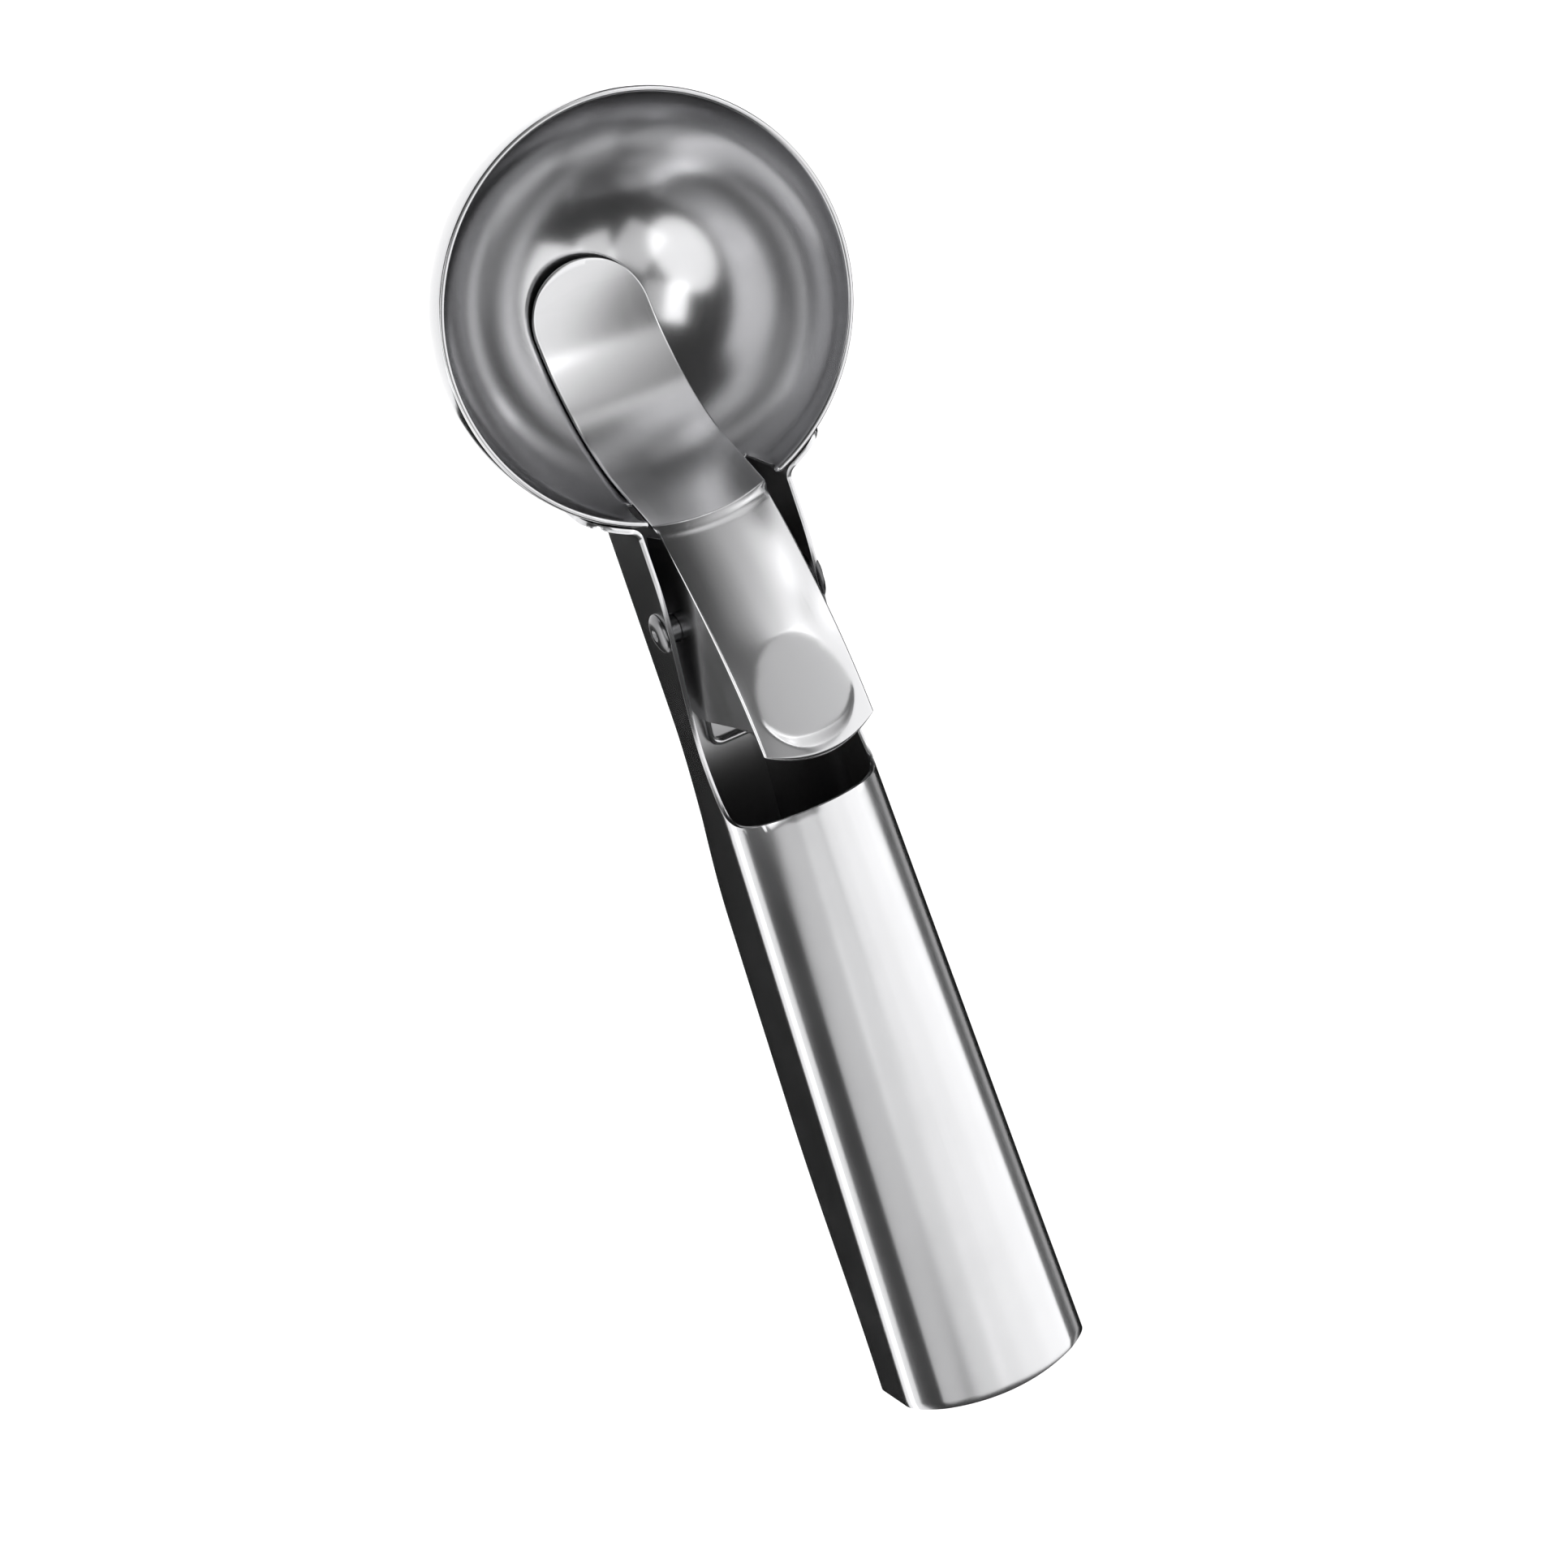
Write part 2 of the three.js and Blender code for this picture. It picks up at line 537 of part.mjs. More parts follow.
// A tube of five sides through the points, closed at both ends.
function wireTube(points) {
  const sides = 5;
  const positions = [];
  const index = [];
  const along = points.map((point, i) => {
    const before = points[Math.max(i - 1, 0)];
    const after = points[Math.min(i + 1, points.length - 1)];
    return after.clone().sub(before).normalize();
  });
  const normal = new THREE.Vector3(0, 1, 0);
  points.forEach((point, i) => {
    normal.addScaledVector(along[i], -normal.dot(along[i])).normalize();
    const side = along[i].clone().cross(normal);
    for (let k = 0; k < sides; k += 1) {
      const turn = (k / sides) * 2 * Math.PI;
      const spot = point.clone().addScaledVector(normal, (WIRE / 2) * Math.cos(turn));
      spot.addScaledVector(side, (WIRE / 2) * Math.sin(turn));
      positions.push(spot.x, spot.y, spot.z);
    }
  });
  for (let i = 0; i + 1 < points.length; i += 1) {
    for (let k = 0; k < sides; k += 1) {
      const [a, b] = [i * sides + k, i * sides + ((k + 1) % sides)];
      index.push(a, b, a + sides, b, b + sides, a + sides);
    }
  }
  const last = (points.length - 1) * sides;
  for (let k = 1; k + 1 < sides; k += 1) {
    index.push(0, k + 1, k);
    index.push(last, last + k, last + k + 1);
  }
  const geometry = new THREE.BufferGeometry();
  geometry.setAttribute('position', new THREE.Float32BufferAttribute(positions, 3));
  geometry.setIndex(index);
  geometry.computeVertexNormals();
  return geometry;
}

const wirePoints = springPoints();
console.log(`return_spring: least gap of the wire to itself ${leastGap(wirePoints).toFixed(2)} mm`);

// The assembly

const steel = { metalness: 1 };
const finishes = {
  bowl: new THREE.MeshStandardMaterial({ ...steel, color: 0x9a9a9a, roughness: 0.25 }),
  handle: new THREE.MeshStandardMaterial({ ...steel, color: 0xc4c4c4, roughness: 0.3 }),
  lever: new THREE.MeshStandardMaterial({ ...steel, color: 0xb4b4b4, roughness: 0.28 }),
  pivot_pin: new THREE.MeshStandardMaterial({ ...steel, color: 0x8c8c8c, roughness: 0.35 }),
  return_spring: new THREE.MeshStandardMaterial({ ...steel, color: 0xa8a8a8, roughness: 0.3 }),
};
const geometries = {
  bowl: toGeometry(makeBowl()),
  handle: toGeometry(makeHandle()),
  lever: toGeometry(makeLever()),
  pivot_pin: toGeometry(makePin()),
  return_spring: wireTube(wirePoints),
};

const scoop = new THREE.Group();
const aboutRim = new THREE.Group();
aboutRim.position.set(OVERALL_LENGTH / 2 - bowlOuterRadius, 0, bowlOuterRadius);
for (const [name, geometry] of Object.entries(geometries)) {
  const mesh = new THREE.Mesh(geometry, finishes[name]);
  mesh.name = name;
  aboutRim.add(mesh);
}
scoop.add(aboutRim);

export default scoop;
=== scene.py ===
"""Ice cream scoop of satin stainless steel: bowl, folded handle, thumb lever, rivet and return spring.

Metres, +Z up, in the frame of the packed part. Shapes are worked out about the middle of the bowl's rim,
with x towards the bowl, y to the left and z up, and are then moved to the rim's place in the frame.
"""

import math

import bpy
from bpy.props import FloatProperty, FloatVectorProperty, IntProperty, PointerProperty
from mathutils import Euler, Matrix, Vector


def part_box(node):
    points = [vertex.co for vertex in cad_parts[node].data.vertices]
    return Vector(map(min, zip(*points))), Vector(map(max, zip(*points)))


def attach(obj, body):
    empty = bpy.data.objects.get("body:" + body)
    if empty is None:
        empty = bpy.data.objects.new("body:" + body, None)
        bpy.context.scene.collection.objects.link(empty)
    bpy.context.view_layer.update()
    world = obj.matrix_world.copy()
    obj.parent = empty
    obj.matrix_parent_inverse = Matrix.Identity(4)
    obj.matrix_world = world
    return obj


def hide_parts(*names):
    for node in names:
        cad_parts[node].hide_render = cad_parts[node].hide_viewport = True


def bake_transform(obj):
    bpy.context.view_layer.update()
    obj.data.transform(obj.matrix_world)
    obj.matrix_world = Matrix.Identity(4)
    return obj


bl_info = {
    "name": "Ice Cream Scoop",
    "version": (1, 0, 0),
    "blender": (4, 5, 0),
    "location": "3D View > Sidebar > Scoop",
    "description": "Models a steel ice cream scoop with a thumb lever, and its studio",
    "category": "Add Mesh",
}

MM = 0.001

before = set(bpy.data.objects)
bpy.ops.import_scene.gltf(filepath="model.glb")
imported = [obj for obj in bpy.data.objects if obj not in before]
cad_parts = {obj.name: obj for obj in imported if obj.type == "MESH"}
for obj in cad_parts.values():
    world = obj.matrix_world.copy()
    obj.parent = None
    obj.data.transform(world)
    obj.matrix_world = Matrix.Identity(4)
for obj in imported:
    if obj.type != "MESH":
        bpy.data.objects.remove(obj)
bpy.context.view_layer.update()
bowl_low, bowl_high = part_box("bowl")
pin_low, pin_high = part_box("pivot_pin")
handle_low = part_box("handle")[0]

# Places taken from the frame, about the middle of the rim
RIM = Vector((bowl_high.x - bowl_high.y, 0, bowl_high.z))
BOWL_RADIUS = bowl_high.y
PIN_X = (pin_low.x + pin_high.x) / 2 - RIM.x
PIN_Z = (pin_low.z + pin_high.z) / 2 - RIM.z
REAR_X = handle_low.x - RIM.x


def length(name, description, default):
    """A size in metres that a user can change."""
    return FloatProperty(name=name, description=description, default=default, unit="LENGTH", precision=5)


def angle(name, description, degrees):
    """An angle that a user can change."""
    return FloatProperty(name=name, description=description, default=math.radians(degrees), subtype="ANGLE")


def share(name, description, default):
    """A value from 0 to 1 that a user can change."""
    return FloatProperty(name=name, description=description, default=default, min=0, max=1, subtype="FACTOR")


def tint(name, description, default):
    """A colour that a user can change."""
    return FloatVectorProperty(name=name, description=description, default=default, size=3, subtype="COLOR")


def count(name, description, default):
    """A number of cells that a user can change."""
    return IntProperty(name=name, description=description, default=default, min=1)


class BowlSizes(bpy.types.PropertyGroup):
    """Sizes of the stamped bowl."""

    wall: length("Wall", "Thickness of the stamped wall", 0.8 * MM)
    rim_round: length("Rim rounding", "Rounding of the rim's two edges", 0.28 * MM)
    segments: count("Segments", "Cells round the ball", 168)
    rings: count("Rings", "Cells from pole to pole of the whole ball", 96)
    notch_segments: count("Notch segments", "Half the notch's width, in cells round the ball", 9)
    notch_rings: count("Notch rings", "Depth of the notch, in rings below the rim", 10)
    notch_half: length("Notch half width", "Half the notch's width at its bottom", 9.12 * MM)
    notch_flare: length("Notch flare", "How much wider each half of the notch is at the rim", 1.2 * MM)
    notch_flare_depth: length("Notch flare depth", "Depth at which the flare has ended", 2 * MM)
    notch_blend: count("Notch blend", "Cells beside the notch that follow its edge", 8)
    notch_fade: share("Notch fade", "How far below the notch cells still follow it, of its depth", 0.3)


class HandleSizes(bpy.types.PropertyGroup):
    """Sizes of the folded handle. Depths are measured down from the rim."""

    sheet: length("Sheet", "Thickness of the sheet", 0.7 * MM)
    edge_round: length("Edge rounding", "Rounding of the sheet's edges", 0.2 * MM)
    front_half: length("Front half width", "Half the width over the arms", 11.9 * MM)
    rear_half: length("Rear half width", "Half the width at the rear end", 14.6 * MM)
    top: length("Top", "Height of the arched top above the rim", 0.5 * MM)
    crown: length("Crown radius", "Radius of the arched top", 16 * MM)
    corner: length("Top corner", "Radius between the arched top and the sides", 4 * MM)
    floor_corner: length("Floor corner", "Radius between the sides and the floor", 2.5 * MM)
    seam: length("Seam", "Half the width of the seam's groove along the underside", 0.4 * MM)
    seam_depth: length("Seam depth", "Depth of that groove", 0.15 * MM)
    channel_depth: length("Channel depth", "Depth of the open channel's floor", 16 * MM)
    grip_depth: length("Grip depth", "Depth of the flat underside of the grip", 20.7 * MM)
    rear_depth: length("Rear depth", "Depth of the floor at the rear end", 17.8 * MM)
    fall_start: length("Fall start", "Where the floor starts to fall, behind the pin", 14 * MM)
    grip_start: length("Grip start", "Front of the flat underside, behind the pin", 46 * MM)
    grip_end: length("Grip end", "Rear of the flat underside, behind the pin", 78 * MM)
    rear_bow: length("Rear bow", "How far the rear end's middle stands behind its sides", 1.8 * MM)
    rear_bow_reach: length("Rear bow reach", "Length over which the rear end's bow fades", 30 * MM)
    top_edge: length("Top edge", "Front edge of the closed top, behind the pin", 30.3 * MM)
    top_edge_drop: length("Top edge drop", "Upright part of that edge in side view", 2 * MM)
    arm_top: length("Arm top", "Depth of the arms' top edge at the bowl", 0.9 * MM)
    arm_low: length("Arm low", "Depth of the arms' top edge at its lowest", 7.2 * MM)
    arm_low_place: length("Arm low place", "Where the arms' top edge is lowest, behind the pin", 20 * MM)
    arm_rise: length("Arm rise", "Where the arms' top edge is level, ahead of the pin", 8 * MM)
    floor_front: length("Floor front", "Front edge of the channel's floor, ahead of the pin", 11 * MM)
    tab_bend: length("Tab bend", "Inner radius of the bend into a weld tab", 1.5 * MM)
    tab_gap: length("Tab gap", "Gap between a weld tab and the bowl", 0.3 * MM)
    tab_end: length("Tab end", "Outer end of a weld tab, from the middle plane", 18.4 * MM)
    tab_top: length("Tab top", "Depth of a weld tab's top edge below the rim", 0.35 * MM)
    tab_depth: length("Tab depth", "Height of a weld tab", 10 * MM)
    tab_corner: length("Tab corner", "Corner radius of a weld tab", 3 * MM)


class LeverSizes(bpy.types.PropertyGroup):
    """Sizes of the bent thumb lever."""

    sheet: length("Sheet", "Thickness of the sheet", 0.65 * MM)
    edge_round: length("Edge rounding", "Rounding of the sheet's edges", 0.2 * MM)
    half: length("Half width", "Half the width over the flanges", 8.54 * MM)
    tongue_half: length("Tongue half width", "Half the width of the tongue", 8.8 * MM)
    tongue_radius: length("Tongue radius", "Radius of the tongue's upper face along its middle", 27.2 * MM)
    tongue_dish: share("Tongue dish", "How much of the bowl's curve the tongue has across it", 0.2)
    tongue_reach: length("Tongue reach", "Tip of the tongue past the bowl's middle", 5 * MM)
    fold_x: length("Fold", "Bend between tongue and plate, behind the bowl's middle", 29.86 * MM)
    fold_depth: length("Fold depth", "Depth of that bend below the rim", 1.39 * MM)
    fold_round: length("Fold rounding", "Radius of that bend", 0.8 * MM)
    fold_groove: length("Fold groove", "Depth of the shallow groove behind that bend", 0.09 * MM)
    groove_place: length("Groove place", "From the bend to the groove's middle", 1.15 * MM)
    groove_half: length("Groove half width", "Half the groove's width", 0.8 * MM)
    plate_angle: angle("Plate angle", "Rise of the thumb plate to the rear, at the bend", 34.2)
    plate_run: length("Plate run", "Level distance from the bend to the plate's rear end", 34.6 * MM)
    arch_drop: length("Arch drop", "Fall of the plate's rear end by its arch", 9.8 * MM)
    crown: length("Crown", "Fall of the plate from its middle to its sides", 1.1 * MM)
    side_round: length("Side rounding", "Radius between the plate and its flanges", 0.3 * MM)
    rear_bow: length("Rear bow", "How far the rear end's middle stands behind its sides", 2.6 * MM)
    rear_corner: length("Rear corner", "Radius of the plate's two rear corners", 1 * MM)
    lip: length("Lip", "Radius of the rear end's turned down lip", 1.0 * MM)
    flange_below: length("Flange below", "Flange below the pin's axis", 3.5 * MM)
    flange_slope: angle("Flange slope", "Fall of the flange's lower edge to the rear", 10)
    flange_front: length("Flange front", "Front end of the flange, ahead of the pin", 12.6 * MM)
    flange_rear: length("Flange rear", "Rear end of the flange, behind the pin", 14 * MM)
    flange_corner: length("Flange corner", "Rear lower corner of the flange", 8 * MM)
    flange_lean: angle("Flange lean", "Lean of the flange outwards", 6)
    skirt_lean: angle("Skirt lean", "Lean of the skirt inwards, behind the flange", 14)
    skirt: length("Skirt", "Depth of the skirt that runs on behind the flange", 4.7 * MM)
    skirt_run: length("Skirt run", "Length over which the skirt narrows", 2.5 * MM)
    skirt_end: length("Skirt end", "Depth of the skirt at its rear end", 0.9 * MM)
    dimple_width: length("Dimple width", "Width of the dimple's rear wall", 18.4 * MM)
    dimple_corner: length("Dimple corner", "Rear corners of the dimple", 6 * MM)
    dimple_margin: length("Dimple margin", "From the plate's rear end to the dimple", 1.8 * MM)
    dimple_middle: length("Dimple middle", "From the plate's rear end to its deepest place", 7.4 * MM)
    dimple_depth: length("Dimple depth", "Depth of the dimple's flat floor at that place", 0.8 * MM)
    dimple_soft: length("Dimple softness", "Softness of the floor's edge", 0.07 * MM)
    dimple_wall: length("Dimple wall", "Width of the dimple's soft wall", 2.6 * MM)
    wall_outside: share("Wall outside", "How much of that wall lies outside the dimple's outline", 0.3)


class PinSizes(bpy.types.PropertyGroup):
    """Sizes of the rivet that carries the lever."""

    radius: length("Radius", "Radius of the shaft", 2 * MM)
    hole: length("Hole", "Radius of the holes for the shaft", 2.15 * MM)
    seat: length("Seat", "Place of a head's flat side, from the middle plane", 11.95 * MM)
    head_radius: length("Head radius", "Radius of a formed head", 2.9 * MM)
    head_height: length("Head height", "Height of a formed head", 0.9 * MM)
    head_flat: length("Head flat", "Radius of the pressed hollow in a head", 1.0 * MM)
    hollow: length("Hollow", "Depth of that hollow", 0.35 * MM)
    hollow_rim: share("Hollow rim", "Where the hollow starts, of its radius", 0.9)
    hollow_floor: share("Hollow floor", "Radius of the hollow's floor, of its radius", 0.5)
    edge_round: length("Edge rounding", "Rounding of the rivet's edges", 0.08 * MM)
    sides: count("Sides", "Sides of the shaft", 48)
    dome_steps: count("Dome steps", "Steps from a head's rim to its top", 8)


class SpringSizes(bpy.types.PropertyGroup):
    """Sizes of the return spring. The bridge joins its two coils on the channel's floor."""

    wire: length("Wire", "Diameter of the wire", 1 * MM)
    coil_radius: length("Coil radius", "Radius of the coils at the middle of the wire", 3 * MM)
    pitch: length("Pitch", "From one turn to the next", 1.6 * MM)
    outer_y: length("Outer turn", "Place of a coil's outer turn, from the middle plane", 7.15 * MM)
    turns: count("Turns", "Whole turns in each coil", 3)
    turn_steps: count("Turn steps", "Points round a turn", 32)
    sides: count("Sides", "Sides of the wire, for each quarter of its section", 4)
    bridge_behind: length("Bridge", "Place of the bridge, behind the pin", 20.5 * MM)
    bridge_depth: length("Bridge depth", "Depth of the bridge below the rim", 15.25 * MM)
    bridge_bend: length("Bridge bend", "Radius of the bends beside the bridge", 2 * MM)
    bend_steps: count("Bend steps", "Points round such a bend", 10)
    free_behind: length("Free leg", "End of a free leg, behind the pin", 11 * MM)
    free_height: length("Free leg height", "Height of that end above the rim", 5.4 * MM)


class SteelFinish(bpy.types.PropertyGroup):
    """Colours and finish of the steel."""

    bowl: tint("Bowl", "Colour of the bowl's steel", (0.62, 0.62, 0.63))
    handle: tint("Handle", "Colour of the handle's steel", (0.65, 0.65, 0.66))
    # The inside tint is darker than the outside steel: painted shade in the handle's channel and tube. Its
    # higher roughness is the unpolished inner face.
    inside: tint("Inside", "Colour of the unpolished steel inside the handle", (0.4, 0.4, 0.405))
    lever: tint("Lever", "Colour of the lever's steel", (0.65, 0.65, 0.66))
    # The rivet's tint is far darker than the other steel: painted shade that stands in for the dark
    # reflections on its head.
    pin: tint("Pin", "Colour of the rivet's steel", (0.22, 0.22, 0.225))
    spring: tint("Spring", "Colour of the spring's wire", (0.58, 0.58, 0.59))
    bowl_roughness: share("Bowl roughness", "Roughness of the spun bowl", 0.16)
    sheet_roughness: share("Sheet roughness", "Roughness of the polished sheet", 0.2)
    inside_roughness: share("Inside roughness", "Roughness inside the handle", 0.32)
    wire_roughness: share("Wire roughness", "Roughness of the rivet and the wire", 0.25)
    grain: share("Grain", "Strength of the polishing lines", 0.2)
    smudges: share("Smudges", "Strength of the handling marks", 0.25)
    # Lightens the edges as a painted highlight, and makes them smoother as wear.
    wear_and_highlight: share("Edge polish", "How much brighter the edges are worn", 0.5)


class StageSettings(bpy.types.PropertyGroup):
    """Floor, light and camera."""

    floor_drop: length("Floor drop", "Height of the scoop above the floor", 0.4)
    floor_size: length("Floor size", "Width of the floor", 14)
    floor_tint: tint("Floor", "Colour of the floor", (0.8, 0.8, 0.8))
    floor_glow: share("Floor glow", "How much of the floor's white it shows without light", 0.8)
    room_level: share("Room", "Brightness of the dim room round the scoop", 0.05)
    ceiling_level: share("Ceiling", "Brightness of the room's ceiling", 0.15)
    ceiling_start: share("Ceiling start", "Sine of the elevation at which the ceiling starts", 0.75)
    ceiling_full: share("Ceiling full", "Sine of the elevation from which it is fully bright", 0.94)
    lens: FloatProperty(
        name="Lens", description="Focal length in millimetres", default=115.833, unit="CAMERA")
    camera_place: FloatVectorProperty(
        name="Camera", description="Place of the camera", default=(0.19297, 0.20604, 0.67479),
        size=3, subtype="TRANSLATION", unit="LENGTH")
    camera_turn: FloatVectorProperty(
        name="Camera turn", description="Rotation of the camera",
        default=tuple(math.radians(turn) for turn in (-9.4477, -21.6035, -109.4669)),
        size=3, subtype="EULER")


# Helpers for numbers


def mix(start, end, part):
    """The value at a part of the way from start to end."""
    return start + (end - start) * part


def clamp(value):
    """The value, held between 0 and 1."""
    return min(max(value, 0), 1)


def ease(low, high, value):
    """0 below low, 1 above high and a smooth rise between them."""
    part = clamp((value - low) / (high - low))
    return part * part * (3 - 2 * part)


def bezier(points, part):
    """A point on the Bezier curve of these control points."""
    while len(points) > 1:
        points = [tuple(mix(a, b, part) for a, b in zip(p, q)) for p, q in zip(points, points[1:])]
    return points[0]


def steps(start, end, number):
    """Evenly spaced values after start, up to end."""
    return [mix(start, end, i / number) for i in range(1, number + 1)]


# Helpers for meshes

WELD_GAP = 0.002 * MM
TOLERANCE = 0.01 * MM
SHARP_EDGE = math.radians(50)


def alone(piece):
    """Makes a piece the only selected one, and the active one."""
    bpy.ops.object.select_all(action="DESELECT")
    piece.select_set(True)
    bpy.context.view_layer.objects.active = piece


def started(name):
    """Names the primitive that was just added."""
    piece = bpy.context.object
    piece.name = name
    piece.data.name = name
    return piece


def select_faces(piece, chosen):
    """Goes to edit mode with the faces selected for which chosen(face) is true."""
    alone(piece)
    bpy.ops.object.mode_set(mode="EDIT")
    bpy.ops.mesh.select_mode(type="FACE")
    bpy.ops.mesh.select_all(action="DESELECT")
    bpy.ops.object.mode_set(mode="OBJECT")
    for face in piece.data.polygons:
        face.select = chosen(face)
    bpy.ops.object.mode_set(mode="EDIT")


def delete_faces(piece, chosen):
    """Deletes the faces for which chosen(face) is true."""
    select_faces(piece, chosen)
    bpy.ops.mesh.delete(type="FACE")
    bpy.ops.object.mode_set(mode="OBJECT")


def finish_modifier(piece, kind, **settings):
    """Adds a modifier and applies it."""
    alone(piece)
    modifier = piece.modifiers.new(kind.title(), kind)
    for key, value in settings.items():
        setattr(modifier, key, value)
    bpy.ops.object.modifier_apply(modifier=modifier.name)


def weld_and_face_out(piece):
    """Merges doubles and turns all faces to the outside."""
    alone(piece)
    bpy.ops.object.mode_set(mode="EDIT")
    bpy.ops.mesh.select_all(action="SELECT")
    bpy.ops.mesh.remove_doubles(threshold=WELD_GAP)
    bpy.ops.mesh.normals_make_consistent(inside=False)
    bpy.ops.object.mode_set(mode="OBJECT")


def highest_face_up(piece):
    """Turns the faces over if the highest one looks down."""
    highest = max(piece.data.polygons, key=lambda face: face.center.z)
    if highest.normal.z < 0:
        alone(piece)
        bpy.ops.object.mode_set(mode="EDIT")
        bpy.ops.mesh.select_all(action="SELECT")
        bpy.ops.mesh.flip_normals()
        bpy.ops.object.mode_set(mode="OBJECT")


def blank(name, columns, rows):
    """A flat sheet of columns by rows cells, each one unit wide, with a corner at the origin."""
    bpy.ops.mesh.primitive_grid_add(x_subdivisions=columns, y_subdivisions=rows, size=1)
    piece = started(name)
    bpy.ops.object.mode_set(mode="EDIT")
    bpy.ops.transform.resize(value=(columns, rows, 1), center_override=(0, 0, 0))
    bpy.ops.transform.translate(value=(columns / 2, rows / 2, 0))
    bpy.ops.object.mode_set(mode="OBJECT")
    return piece


def fold(piece, place):
    """Moves each corner of a flat sheet to place(column, row) about the middle of the rim."""
    for corner in piece.data.vertices:
        corner.co = RIM + Vector(place(round(corner.co.x), round(corner.co.y)))
    piece.data.update()


def mirrored(piece):
    """Adds the other half of a piece that is drawn on the left of the middle plane."""
    finish_modifier(piece, "MIRROR", use_axis=(False, True, False), merge_threshold=TOLERANCE)
    weld_and_face_out(piece)
    highest_face_up(piece)


def thicken(piece, wall, material_offset=0):
    """Gives a sheet its thickness, inwards."""
    finish_modifier(
        piece, "SOLIDIFY", thickness=wall, offset=-1, use_even_offset=True, material_offset=material_offset)


def round_edges(piece, width, segments=2):
    """Rounds the sharp edges of a piece."""
    finish_modifier(
        piece, "BEVEL", width=width, segments=segments, limit_method="ANGLE", angle_limit=SHARP_EDGE)


def drill_for_pin(piece, pin):
    """Cuts the pin's holes with a round bar that is longer than the pin."""
    bpy.ops.mesh.primitive_cylinder_add(
        vertices=pin.sides, radius=pin.hole, depth=4 * pin.seat,
        location=RIM + Vector((PIN_X, 0, PIN_Z)), rotation=(math.pi / 2, 0, 0))
    bar = started("pin_drill")
    finish_modifier(piece, "BOOLEAN", operation="DIFFERENCE", object=bar, solver="EXACT")
    bpy.data.objects.remove(bar)


def smooth(piece, degrees=35):
    """Shades a piece smoothly, apart from edges sharper than an angle."""
    alone(piece)
    bpy.ops.object.shade_smooth_by_angle(angle=math.radians(degrees))


def folded_sheet(name, folding, materials, pin):
    """Cuts and folds a flat blank, and adds its other half, thickness, rounded edges and the pin's holes."""
    piece = blank(name, len(folding.columns) - 1, folding.rows)
    for material in materials:
        piece.data.materials.append(material)
    delete_faces(piece, folding.waste)
    fold(piece, folding.place)
    mirrored(piece)
    thicken(piece, folding.size.sheet, len(materials) - 1)
    round_edges(piece, folding.size.edge_round)
    drill_for_pin(piece, pin)
    smooth(piece)
    return piece


def dress(piece, node, body):
    """Gives a finished piece its place in the frame."""
    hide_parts(node)
    if body:
        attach(piece, body)


# Materials

# Polishing lines: how closely they lie, for each axis or across the rings of the bowl
RING_LINES = 5000
SHEET_LINES = (40, 6000, 6000)
LEVER_LINES = (40, 6000, 40)
WIRE_LINES = (2500, 2500, 2500)
LINE_RELIEF = 0.004
LINE_DEPTH = 0.02 * MM

# How much lines, smears, haze and worn edges with their painted highlight change a steel's lightness and
# roughness
LINE_LIGHT, LINE_ROUGH = 0.3, 0.25
SMEAR_LIGHT, SMEAR_ROUGH = 0.07, 0.1
HAZE_ROUGH = 0.12
# EDGE_HIGHLIGHT lightens the colour along edges as a painted highlight; EDGE_ROUGH makes them smoother, as
# wear.
EDGE_HIGHLIGHT, EDGE_ROUGH = 0.3, 0.08
SMEAR_SCALE, HAZE_SCALE = 70, 22


def new_group(name, inputs, outputs):
    """An empty node group with these sockets, and its nodes."""
    group = bpy.data.node_groups.new(name, "ShaderNodeTree")
    for label, kind, default in inputs:
        socket = group.interface.new_socket(label, in_out="INPUT", socket_type=kind)
        if default is not None:
            socket.default_value = default
    for label, kind in outputs:
        group.interface.new_socket(label, in_out="OUTPUT", socket_type=kind)
    return group, group.nodes.new("NodeGroupInput"), group.nodes.new("NodeGroupOutput")


def noise(tree, vector, scale, detail, roughness=0.5):
    """A noise pattern on these coordinates."""
    node = tree.nodes.new("ShaderNodeTexNoise")
    node.inputs["Scale"].default_value = scale
    node.inputs["Detail"].default_value = detail
    node.inputs["Roughness"].default_value = roughness
    tree.links.new(vector, node.inputs["Vector"])
    return node.outputs["Fac"]


def ranged(tree, value, low, high, to_low, to_high):
    """Maps a value from one range to another, and clamps it."""
    node = tree.nodes.new("ShaderNodeMapRange")
    for label, number in (("From Min", low), ("From Max", high), ("To Min", to_low), ("To Max", to_high)):
        node.inputs[label].default_value = number
    tree.links.new(value, node.inputs["Value"])
    return node.outputs["Result"]


def maths(tree, operation, first, second):
    """A Math node on two sockets or numbers."""
    node = tree.nodes.new("ShaderNodeMath")
    node.operation = operation
    for socket, value in zip(node.inputs, (first, second)):
        if isinstance(value, (int, float)):
            socket.default_value = value
        else:
            tree.links.new(value, socket)
    return node.outputs["Value"]


def tinted(tree, color, value):
    """A colour made lighter or darker by a value near 1."""
    node = tree.nodes.new("ShaderNodeVectorMath")
    node.operation = "SCALE"
    tree.links.new(color, node.inputs["Vector"])
    tree.links.new(value, node.inputs["Scale"])
    return node.outputs["Vector"]


